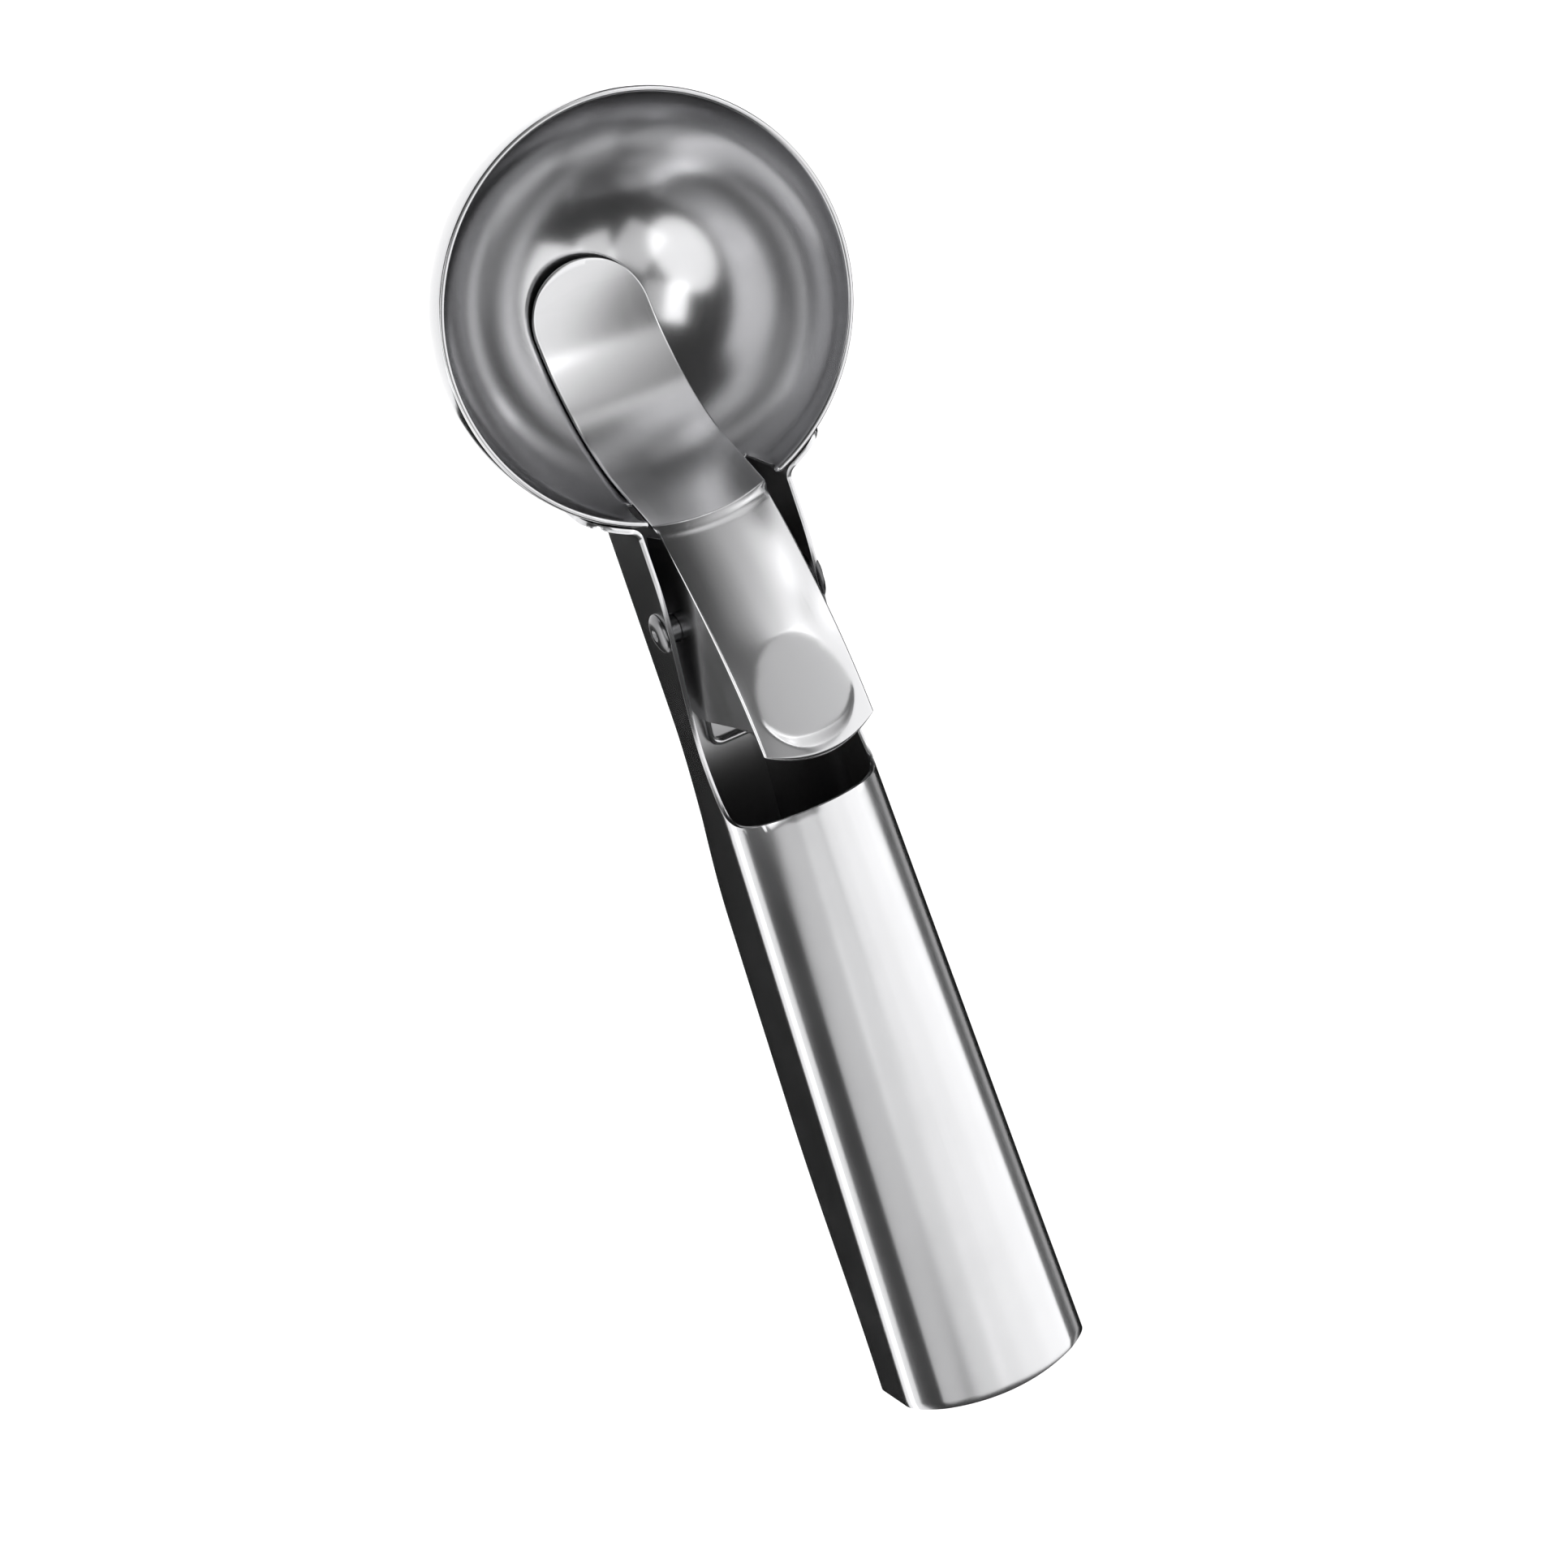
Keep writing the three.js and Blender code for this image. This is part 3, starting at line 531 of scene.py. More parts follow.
def satin_group():
    """Polishing lines, handling marks, worn edges and a painted highlight along the edges, as changes to a
    steel's colour and roughness.
    """
    group, given, result = new_group("Satin steel", [
        ("Place", "NodeSocketVector", None),
        ("Lines", "NodeSocketVector", None),
        ("Color", "NodeSocketColor", (0.6, 0.6, 0.6, 1)),
        ("Roughness", "NodeSocketFloat", 0.25),
        ("Grain", "NodeSocketFloat", 0.4),
        ("Smudges", "NodeSocketFloat", 0.4),
        ("Wear_and_highlight", "NodeSocketFloat", 0.5),
    ], [("Color", "NodeSocketColor"), ("Roughness", "NodeSocketFloat"), ("Height", "NodeSocketFloat")])
    link = group.links.new
    lines = noise(group, given.outputs["Lines"], 1, 4, 0.65)
    smears = ranged(group, noise(group, given.outputs["Place"], SMEAR_SCALE, 5, 0.6), 0.42, 0.68, 0, 1)
    haze = noise(group, given.outputs["Place"], HAZE_SCALE, 2)
    geometry = group.nodes.new("ShaderNodeNewGeometry")
    # Edges: the lighter colour is a painted highlight, and the lower roughness is wear.
    edge = ranged(group, geometry.outputs["Pointiness"], 0.52, 0.6, 0, 1)
    edge = maths(group, "MULTIPLY", edge, given.outputs["Wear_and_highlight"])
    line_change = maths(group, "MULTIPLY", maths(group, "SUBTRACT", lines, 0.5), given.outputs["Grain"])
    smear_change = maths(group, "MULTIPLY", smears, given.outputs["Smudges"])
    haze_change = maths(group, "MULTIPLY", maths(group, "SUBTRACT", haze, 0.5), given.outputs["Smudges"])
    light = maths(group, "MULTIPLY_ADD", line_change, LINE_LIGHT)
    light.node.inputs[2].default_value = 1
    light = maths(group, "SUBTRACT", light, maths(group, "MULTIPLY", smear_change, SMEAR_LIGHT))
    light = maths(group, "ADD", light, maths(group, "MULTIPLY", edge, EDGE_HIGHLIGHT))
    rough = maths(group, "MULTIPLY", line_change, LINE_ROUGH)
    rough = maths(group, "ADD", given.outputs["Roughness"], rough)
    rough = maths(group, "ADD", rough, maths(group, "MULTIPLY", smear_change, SMEAR_ROUGH))
    rough = maths(group, "ADD", rough, maths(group, "MULTIPLY", haze_change, HAZE_ROUGH))
    rough = maths(group, "SUBTRACT", rough, maths(group, "MULTIPLY", edge, EDGE_ROUGH))
    link(tinted(group, given.outputs["Color"], light), result.inputs["Color"])
    link(rough, result.inputs["Roughness"])
    link(lines, result.inputs["Height"])
    return group


def straight_lines(tree, place, scale):
    """Coordinates that stretch a pattern into straight lines, by a scale for each axis."""
    node = tree.nodes.new("ShaderNodeMapping")
    node.inputs["Scale"].default_value = scale
    tree.links.new(place, node.inputs["Vector"])
    return node.outputs["Vector"]


def spun_lines(tree, place):
    """Coordinates that stretch a pattern into rings round the bowl's upright axis."""
    centre = tree.nodes.new("ShaderNodeMapping")
    centre.inputs["Location"].default_value = -RIM
    tree.links.new(place, centre.inputs["Vector"])
    parts = tree.nodes.new("ShaderNodeSeparateXYZ")
    tree.links.new(centre.outputs["Vector"], parts.inputs["Vector"])
    turn = maths(tree, "ARCTAN2", parts.outputs["Y"], parts.outputs["X"])
    square = maths(tree, "MULTIPLY", parts.outputs["X"], parts.outputs["X"])
    square_y = maths(tree, "MULTIPLY", parts.outputs["Y"], parts.outputs["Y"])
    radius = maths(tree, "SQRT", maths(tree, "ADD", square, square_y), 0)
    joined = tree.nodes.new("ShaderNodeCombineXYZ")
    tree.links.new(maths(tree, "MULTIPLY", radius, RING_LINES), joined.inputs["X"])
    tree.links.new(maths(tree, "MULTIPLY", parts.outputs["Z"], RING_LINES), joined.inputs["Y"])
    tree.links.new(maths(tree, "COSINE", turn, 0), joined.inputs["Z"])
    return joined.outputs["Vector"]


def steel(name, color, roughness, finish, lines):
    """A steel whose polishing lines run as lines(tree, place) says."""
    material = bpy.data.materials.get(name)
    if material:
        return material
    material = bpy.data.materials.new(name)
    material.use_nodes = True
    tree = material.node_tree
    shader = tree.nodes["Principled BSDF"]
    shader.inputs["Metallic"].default_value = 1
    place = tree.nodes.new("ShaderNodeTexCoord").outputs["Object"]
    satin = tree.nodes.new("ShaderNodeGroup")
    satin.node_tree = bpy.data.node_groups.get("Satin steel") or satin_group()
    tree.links.new(place, satin.inputs["Place"])
    tree.links.new(lines(tree, place), satin.inputs["Lines"])
    satin.inputs["Color"].default_value = (*color, 1)
    satin.inputs["Roughness"].default_value = roughness
    satin.inputs["Grain"].default_value = finish.grain
    satin.inputs["Smudges"].default_value = finish.smudges
    satin.inputs["Wear_and_highlight"].default_value = finish.wear_and_highlight
    tree.links.new(satin.outputs["Color"], shader.inputs["Base Color"])
    tree.links.new(satin.outputs["Roughness"], shader.inputs["Roughness"])
    relief = tree.nodes.new("ShaderNodeBump")
    relief.inputs["Strength"].default_value = LINE_RELIEF
    relief.inputs["Distance"].default_value = LINE_DEPTH
    tree.links.new(satin.outputs["Height"], relief.inputs["Height"])
    tree.links.new(relief.outputs["Normal"], shader.inputs["Normal"])
    return material


def sheet_steel(name, color, roughness, finish, scale=SHEET_LINES):
    """A steel with straight polishing lines."""
    return steel(name, color, roughness, finish, lambda tree, place: straight_lines(tree, place, scale))


def drawn_steel(name, color, finish):
    """The even steel of a rivet or a wire."""
    return sheet_steel(name, color, finish.wire_roughness, finish, WIRE_LINES)


# Bowl


class SCOOP_OT_bowl(bpy.types.Operator):
    """Stamps the half-ball bowl, with the notch in its rim for the lever"""

    bl_idname = "scoop.bowl"
    bl_label = "Bowl"

    def execute(self, context):
        size = context.scene.scoop_bowl
        finish = context.scene.scoop_finish
        bpy.ops.mesh.primitive_uv_sphere_add(
            segments=size.segments, ring_count=size.rings, radius=BOWL_RADIUS, location=(0, 0, 0))
        bowl = started("stamped_bowl")
        notch_turn = math.tau * size.notch_segments / size.segments
        notch_z = -BOWL_RADIUS * math.sin(math.pi * size.notch_rings / size.rings)
        fade_z = notch_z * (1 + size.notch_fade)

        def waste(face):
            """Whether a cell of the ball is cut away: above the rim, and in the notch."""
            x, y, z = face.center
            in_notch = x < 0 and abs(math.atan2(y, -x)) < notch_turn and z > notch_z
            return z > 0 or in_notch

        bowl.data.materials.append(
            steel("spun_bowl_steel", finish.bowl, finish.bowl_roughness, finish, spun_lines))
        delete_faces(bowl, waste)
        cell = math.tau / size.segments
        for corner in bowl.data.vertices:
            x, y, z = corner.co
            radius = math.hypot(x, y)
            turn = math.atan2(y, -x)
            follow = 1 - clamp((abs(turn) - notch_turn) / (size.notch_blend * cell))
            if z > fade_z and abs(turn) > notch_turn - cell / 2 and follow > 0:
                flare = size.notch_flare * (1 - ease(0, size.notch_flare_depth, -z))
                fade = 1 - ease(-notch_z, -fade_z, -z)
                change = math.asin((size.notch_half + flare) / radius) - notch_turn
                turn += math.copysign(change * follow * fade, turn)
            corner.co = RIM + Vector((-radius * math.cos(turn), radius * math.sin(turn), z))
        bowl.data.update()
        weld_and_face_out(bowl)
        lowest = min(bowl.data.polygons, key=lambda face: face.center.z)
        if lowest.normal.z > 0:
            raise RuntimeError("the bowl's faces look inwards")
        thicken(bowl, size.wall)
        round_edges(bowl, size.rim_round, segments=3)
        smooth(bowl)
        dress(bowl, "bowl", "handle")
        return {"FINISHED"}


# Handle


class HandleFold:
    """Where each corner of the handle's flat blank goes when it is folded. Only the left half is drawn: rows
    run from the middle of the top, over the corner, down the side and under the floor to its seam, and
    columns run from the rear end to the outer end of the weld tab."""

    CROWN_ROWS, SIDE_ROWS, FLOOR_CORNER_ROWS, FLOOR_ROWS = 16, 46, 8, 10
    TUBE, NOTCH, RISE, LEVEL, REACH, BEND, TAB = 80, 24, 44, 6, 8, 10, 18

    def __init__(self, size):
        self.size = size
        self.crown_z = size.top - size.crown
        self.corner_y = size.front_half - size.corner
        self.corner_z = self.crown_z + math.sqrt((size.crown - size.corner) ** 2 - self.corner_y ** 2)
        self.corner_turn = math.atan2(self.corner_y, self.corner_z - self.crown_z)
        self.top_x = PIN_X - size.top_edge
        self.front_x = PIN_X + size.floor_front
        self.split_turn = math.acos((size.top - size.top_edge_drop - self.crown_z) / size.crown)
        self.crown_rest = size.crown * (self.corner_turn - self.split_turn)
        self.corner_run = size.corner * (math.pi / 2 - self.corner_turn)
        self.columns = self.stations()
        self.rows = self.CROWN_ROWS + self.SIDE_ROWS + self.FLOOR_CORNER_ROWS + self.FLOOR_ROWS
        self.side_start = self.CROWN_ROWS
        self.floor_start = self.CROWN_ROWS + self.SIDE_ROWS

    def stations(self):
        """One (zone, x or share, depth of the top edge) for each column."""
        size = self.size
        low_x = PIN_X - size.arm_low_place
        level_x = PIN_X + size.arm_rise
        drop = size.top - size.top_edge_drop
        notch = [(self.top_x, drop), (self.top_x, -size.arm_low), (low_x, -size.arm_low)]
        rise = [(low_x, -size.arm_low), (low_x + size.arm_rise, -size.arm_low),
                (PIN_X, -size.arm_top), (level_x, -size.arm_top)]
        found = [("tube", REAR_X, None)]
        found += [("tube", x, None) for x in steps(REAR_X, self.top_x, self.TUBE)]
        found += [("notch", *bezier(notch, part)) for part in steps(0, 1, self.NOTCH)]
        found += [("arm", *bezier(rise, part)) for part in steps(0, 1, self.RISE)]
        found += [("arm", x, -size.arm_top) for x in steps(level_x, self.front_x, self.LEVEL)]
        for zone, number in (("reach", self.REACH), ("bend", self.BEND), ("tab", self.TAB)):
            found += [(zone, part, -size.arm_top) for part in steps(0, 1, number)]
        return found

    def spread(self, x):
        """How much wider than the arms each half is at x."""
        size = self.size
        return (size.rear_half - size.front_half) * clamp((self.top_x - x) / (self.top_x - REAR_X))

    def depth(self, x):
        """Depth of the floor's outside at x."""
        size = self.size
        behind = PIN_X - x
        to_grip = mix(size.channel_depth, size.grip_depth, ease(size.fall_start, size.grip_start, behind))
        return mix(to_grip, size.rear_depth, ease(size.grip_end, PIN_X - REAR_X, behind))

    def side_low(self, x):
        """Height at which the side ends, at the floor's corner."""
        return self.size.floor_corner - self.depth(x)

    def on_top(self, turn):
        """Place on the arched top, at a turn from its middle."""
        size = self.size
        return size.crown * math.sin(turn), self.crown_z + size.crown * math.cos(turn)

    def along_side(self, run):
        """Place in the section, a run along it from where the notch starts."""
        size = self.size
        if run < self.crown_rest:
            return self.on_top(self.split_turn + run / size.crown)
        run -= self.crown_rest
        if run < self.corner_run:
            turn = self.corner_turn + run / size.corner
            across, up = size.corner * math.sin(turn), size.corner * math.cos(turn)
            return self.corner_y + across, self.corner_z + up
        return size.front_half, self.corner_z - (run - self.corner_run)

    def run_to(self, z):
        """Run along the section down to a height."""
        size = self.size
        corner_top = self.corner_z + size.corner * math.cos(self.corner_turn)
        if z > corner_top:
            return size.crown * (math.acos((z - self.crown_z) / size.crown) - self.split_turn)
        if z > self.corner_z:
            turn = math.acos((z - self.corner_z) / size.corner)
            return self.crown_rest + size.corner * (turn - self.corner_turn)
        return self.crown_rest + self.corner_run + self.corner_z - z

    def section(self, zone, x, top, row):
        """Place in the section at x, for a row."""
        size = self.size
        low = self.side_low(x)
        if row < self.side_start:
            return self.on_top(self.split_turn * row / self.CROWN_ROWS)
        if row <= self.floor_start:
            part = (row - self.side_start) / self.SIDE_ROWS
            if zone == "arm":
                return size.front_half, mix(top, low, part)
            start = 0 if top is None else self.run_to(top)
            return self.along_side(mix(start, self.run_to(low), part))
        row -= self.floor_start
        corner_y = size.front_half - size.floor_corner
        if row <= self.FLOOR_CORNER_ROWS:
            turn = math.pi / 2 * row / self.FLOOR_CORNER_ROWS
            return corner_y + size.floor_corner * math.cos(turn), low - size.floor_corner * math.sin(turn)
        part = (row - self.FLOOR_CORNER_ROWS) / (self.FLOOR_ROWS - 1)
        if part > 1:
            return 0, low - size.floor_corner + size.seam_depth
        return mix(corner_y, size.seam, part), low - size.floor_corner

    def at_bowl(self, zone, part, row):
        """Place on the last stretch of an arm, in its bend or on its weld tab."""
        size = self.size
        down = clamp((row - self.side_start) / self.SIDE_ROWS)
        to_tab = {"reach": 0, "bend": part, "tab": 1}[zone]
        low = mix(self.side_low(self.front_x), -size.arm_top - size.tab_depth, to_tab)
        inset = 0
        straight_end = size.tab_end - size.tab_corner
        turn = max(2 * part - 1, 0) * math.pi / 2
        if zone == "tab":
            inset = size.tab_corner * (1 - math.cos(turn))
        top = mix(size.arm_top, size.tab_top, to_tab)
        z = mix(-top - inset, low + inset, down)
        tab_radius = BOWL_RADIUS + size.tab_gap + size.sheet
        level_radius = math.sqrt(tab_radius ** 2 - z ** 2)
        middle_y = size.front_half + size.tab_bend
        middle_x = -math.sqrt((level_radius + size.tab_bend) ** 2 - middle_y ** 2)
        if zone == "reach":
            y = size.front_half
            if row > self.floor_start:
                y, z = self.section("arm", self.front_x, -size.arm_top, row)
            return mix(self.front_x, middle_x, part), y, z
        if zone == "bend":
            turn = mix(-math.pi / 2, math.atan2(-middle_y, -middle_x), part)
            return middle_x + size.tab_bend * math.cos(turn), middle_y + size.tab_bend * math.sin(turn), z
        tab_start = level_radius * middle_y / (level_radius + size.tab_bend)
        y = mix(tab_start, straight_end, min(2 * part, 1)) + size.tab_corner * math.sin(turn)
        return -math.sqrt(level_radius ** 2 - y ** 2), y, z

    def place(self, column, row):
        """Place of a corner of the blank, about the middle of the rim."""
        zone, value, top = self.columns[column]
        if zone not in ("tube", "notch", "arm"):
            return self.at_bowl(zone, value, row)
        size = self.size
        y, z = self.section(zone, value, top, row)
        y += self.spread(value) * clamp(y / self.corner_y)
        bow = size.rear_bow * (y / size.rear_half) ** 2
        return value + bow * (1 - ease(0, size.rear_bow_reach, value - REAR_X)), y, z

    def waste(self, face):
        """Whether a cell of the flat blank is cut away: above the channel, and below the weld tabs."""
        column, row = face.center.x, face.center.y
        zone = self.columns[math.ceil(column)][0]
        on_bowl = zone in ("bend", "tab")
        return zone != "tube" and row < self.side_start or on_bowl and row > self.floor_start


class SCOOP_OT_handle(bpy.types.Operator):
    """Cuts and folds the hollow handle with its two arms and weld tabs"""

    bl_idname = "scoop.handle"
    bl_label = "Handle"

    def execute(self, context):
        finish = context.scene.scoop_finish
        outside = sheet_steel("polished_handle_steel", finish.handle, finish.sheet_roughness, finish)
        # The inner faces get the darker inside tint, which is painted shade in the channel and tube.
        inside = sheet_steel("inside_steel_painted_dark", finish.inside, finish.inside_roughness, finish)
        folding = HandleFold(context.scene.scoop_handle)
        handle = folded_sheet("folded_handle", folding, (outside, inside), context.scene.scoop_pin)
        dress(handle, "handle", "handle")
        return {"FINISHED"}


# Lever


class LeverFold:
    """Where each corner of the lever's flat blank goes when it is bent. Only the left half is drawn: rows
    run from the middle to the side and down the flange, and columns run from the tongue's tip to the
    plate's rear end."""

    FLAT_ROWS, ROUND_ROWS, SKIRT_ROWS, FLANGE_ROWS = 34, 7, 10, 20
    TIP, TONGUE, STRAIGHT, BEND = 16, 56, 6, 10
    PLATE, CORNER, REAR, LIP = 74, 18, 18, 9

    def __init__(self, size):
        self.size = size
        self.top_rows = self.FLAT_ROWS + self.ROUND_ROWS
        self.rows = self.top_rows + self.SKIRT_ROWS + self.FLANGE_ROWS
        self.rise = math.tan(size.plate_angle)
        self.fold = (-size.fold_x, -size.fold_depth)
        reach = math.hypot(*self.fold)
        self.leave = math.atan2(size.fold_x, size.fold_depth) - math.acos(size.tongue_radius / reach)
        self.tip_x = size.tongue_reach - size.tongue_half
        self.rear_x = -size.fold_x - size.plate_run
        self.flange_rear_x = PIN_X - size.flange_rear
        self.columns = self.stations()

    def plate_z(self, x):
        """Height of the arched plate's middle at x."""
        size = self.size
        run = -size.fold_x - x
        return run * self.rise - size.fold_depth - size.arch_drop * (run / size.plate_run) ** 2

    def stations(self):
        """One (zone, place) for each column: a share, an angle down from level, or a point in side view."""
        size = self.size
        run = size.fold_round * math.tan((self.leave - size.plate_angle) / 2)
        slope = size.plate_angle
        start = self.fold[0] + run * math.cos(self.leave), self.fold[1] - run * math.sin(self.leave)
        self.bend_start = start
        end_x = self.fold[0] - run * math.cos(slope)
        found = [("tip", 1.0)]
        found += [("tip", part) for part in steps(1, 0, self.TIP)]
        tip_turn = math.asin(-self.tip_x / size.tongue_radius)
        found += [("ball", turn) for turn in steps(tip_turn, self.leave, self.TONGUE)]
        found += [("straight", (part, 0)) for part in steps(0, 1, self.STRAIGHT)]
        normal = math.sin(self.leave), math.cos(self.leave)
        middle = start[0] - size.fold_round * normal[0], start[1] - size.fold_round * normal[1]
        for turn in steps(self.leave, slope, self.BEND):
            x = middle[0] + size.fold_round * math.sin(turn)
            found.append(("bend", (x, middle[1] + size.fold_round * math.cos(turn))))
        corner_x = self.flange_rear_x + size.flange_corner
        lip_x = self.rear_x + size.lip
        plate = steps(end_x, corner_x, self.PLATE)
        for part in steps(0, 1, self.CORNER):
            plate.append(self.flange_rear_x + size.flange_corner * (1 - part) ** 2)
        plate += steps(self.flange_rear_x, lip_x, self.REAR)
        found += [("plate", (x, 0)) for x in plate]
        for turn in steps(0, math.pi / 2, self.LIP):
            found.append(("plate", (lip_x - size.lip * math.sin(turn), size.lip * (1 - math.cos(turn)))))
        return found

    def flange_line(self, x):
        """Height of the straight line that the flange's lower edge follows."""
        size = self.size
        return PIN_Z - size.flange_below - (PIN_X - x) * math.tan(size.flange_slope)

    def flange_low(self, x):
        """Height of the flange's lower edge at x, with its rounded rear corner."""
        size = self.size
        corner_x = self.flange_rear_x + size.flange_corner
        if x >= corner_x:
            return self.flange_line(x)
        part = 1 - math.sqrt(max(x - self.flange_rear_x, 0) / size.flange_corner)
        rear = self.flange_line(self.flange_rear_x)
        return bezier([(self.flange_line(corner_x),), (rear,), (rear + size.flange_corner,)], part)[0]

    def dimple(self, x, y):
        """Depth of the dimple's flat floor below the plate's middle line, up to its rear wall."""
        size = self.size
        to_end = x - self.rear_x
        corner = size.dimple_corner
        behind = corner + size.dimple_margin + size.rear_bow * (y / size.half) ** 2 - to_end
        beside = abs(y) + corner - size.dimple_width / 2
        outside = math.hypot(max(behind, 0), max(beside, 0)) + min(max(behind, beside), 0) - corner
        floor = size.dimple_depth - size.arch_drop * ((to_end - size.dimple_middle) / size.plate_run) ** 2
        return max(floor, 0) * ease(0, size.dimple_wall, size.wall_outside * size.dimple_wall - outside)

    def half_at(self, x):
        """Half the plate's width at x, with its rounded rear corners."""
        size = self.size
        to_end = x - self.rear_x
        if to_end >= size.rear_corner:
            return size.half
        return size.half - size.rear_corner + math.sqrt(
            size.rear_corner ** 2 - (size.rear_corner - max(to_end, 0)) ** 2)

    def dished(self, y):
        """Radius of the dished tongue's upper face at y."""
        size = self.size
        return size.tongue_radius - size.tongue_dish * (BOWL_RADIUS - math.sqrt(BOWL_RADIUS ** 2 - y ** 2))

    def groove(self, x):
        """Depth of the shallow groove behind the bend at x."""
        size = self.size
        off = abs(-size.fold_x - size.groove_place - x) / size.groove_half
        return size.fold_groove * (1 - ease(0, 1, off))

    def slide(self, y):
        """How far the bend lies down the tongue at y, because the plate is crowned."""
        size = self.size
        fall = size.crown * (y / size.half) ** 2
        return fall / (math.sin(self.leave) - math.cos(self.leave) * self.rise)

    def on_plate(self, x, y):
        """Place on the crowned and bowed plate, with its dimple and the groove behind the bend."""
        size = self.size
        ahead = clamp((x - self.flange_rear_x) / (-size.fold_x - self.flange_rear_x))
        behind = clamp((self.flange_rear_x - x) / (self.flange_rear_x - self.rear_x))
        bow = size.rear_bow * (y / size.half) ** 2
        groove = self.groove(x)
        x += self.slide(y) * math.cos(self.leave) * ahead + bow * behind ** 2
        crown = size.crown * (y / size.half) ** 2
        pressed = self.dimple(x, y) - crown
        pressed = (pressed + math.hypot(pressed, size.dimple_soft)) / 2
        return x, y, self.plate_z(x) - crown - pressed - groove

    def on_sheet(self, kind, x, z, row):
        """Place on the sheet behind the ball, with the plate's rounded sides."""
        size = self.size
        widen = ease(size.fold_x, -PIN_X - size.flange_front, -x)
        half = mix(size.tongue_half, self.half_at(x), widen)
        part = min(row, self.top_rows) / self.top_rows
        flat = (half - size.side_round) * min(row / self.FLAT_ROWS, 1)
        turn = clamp((row - self.FLAT_ROWS) / self.ROUND_ROWS) * math.pi / 2
        y = mix(half * part, flat + size.side_round * math.sin(turn), widen)
        fall = widen * size.side_round * (1 - math.cos(turn))
        forward = self.slide(y) * math.cos(self.leave)
        down = self.slide(y) * math.sin(self.leave)
        if kind == "straight":
            radius = self.dished(y)
            end_x, end_z = self.bend_start[0] + forward, self.bend_start[1] - down
            start_x, start_z = -radius * math.sin(self.leave), -radius * math.cos(self.leave)
            return mix(start_x, end_x, x), y, mix(start_z, end_z, x)
        if kind == "bend":
            return x + forward, y, z - down
        x, y, z_plate = self.on_plate(x, y)
        return x, y, z_plate - fall - z

    def place(self, column, row):
        """Place of a corner of the blank, about the middle of the rim."""
        size = self.size
        zone, value = self.columns[column]
        part = min(row, self.top_rows) / self.top_rows
        if zone == "tip":
            y = size.tongue_half * part * math.sqrt(1 - value ** 2 / 2)
            x = self.tip_x + size.tongue_half * value * math.sqrt(1 - part ** 2 / 2)
            return x, y, -math.sqrt(self.dished(y) ** 2 - x ** 2)
        if zone == "ball":
            y = size.tongue_half * part
            return -self.dished(y) * math.sin(value), y, -self.dished(y) * math.cos(value)
        x, y, z = self.on_sheet(zone, *value, row)
        if row <= self.top_rows:
            return x, y, z
        low = min(self.flange_low(x), z - size.skirt_end)
        narrow = ease(0, size.skirt_run, self.flange_rear_x - x)
        skirt = mix(min(size.skirt, (z - low) / 2), size.skirt_end, narrow)
        row -= self.top_rows
        if row <= self.SKIRT_ROWS:
            down = skirt * row / self.SKIRT_ROWS
        else:
            down = mix(skirt, z - low, (row - self.SKIRT_ROWS) / self.FLANGE_ROWS)
        behind = ease(0, size.skirt_run / 2, self.flange_rear_x - x)
        return x, y + down * math.tan(mix(size.flange_lean, -size.skirt_lean, behind)), z - down

    def waste(self, face):
        """Whether a cell of the flat blank is cut away: beside the tongue, and behind the flange."""
        column, row = face.center.x, face.center.y
        if row < self.top_rows:
            return False
        zone, value = self.columns[math.floor(column)]
        if zone != "plate" or value[0] > PIN_X + self.size.flange_front:
            return True
        end_x = self.columns[math.ceil(column)][1][0]
        on_flange = row > self.top_rows + self.SKIRT_ROWS
        rear = self.flange_rear_x if on_flange else self.flange_rear_x - self.size.skirt_run
        return end_x < rear - TOLERANCE


class SCOOP_OT_lever(bpy.types.Operator):
    """Cuts and bends the thumb lever with its tongue, flanges and pressed dimple"""

    bl_idname = "scoop.lever"
    bl_label = "Lever"

    def execute(self, context):
        finish = context.scene.scoop_finish
        polished = sheet_steel(
            "polished_lever_steel", finish.lever, finish.sheet_roughness, finish, LEVER_LINES)
        folding = LeverFold(context.scene.scoop_lever)
        lever = folded_sheet("thumb_lever", folding, (polished,), context.scene.scoop_pin)
        dress(lever, "lever", "lever")
        return {"FINISHED"}


# Rivet

END_FACING = 0.9  # how squarely a face has to look along the pin to be taken as its end


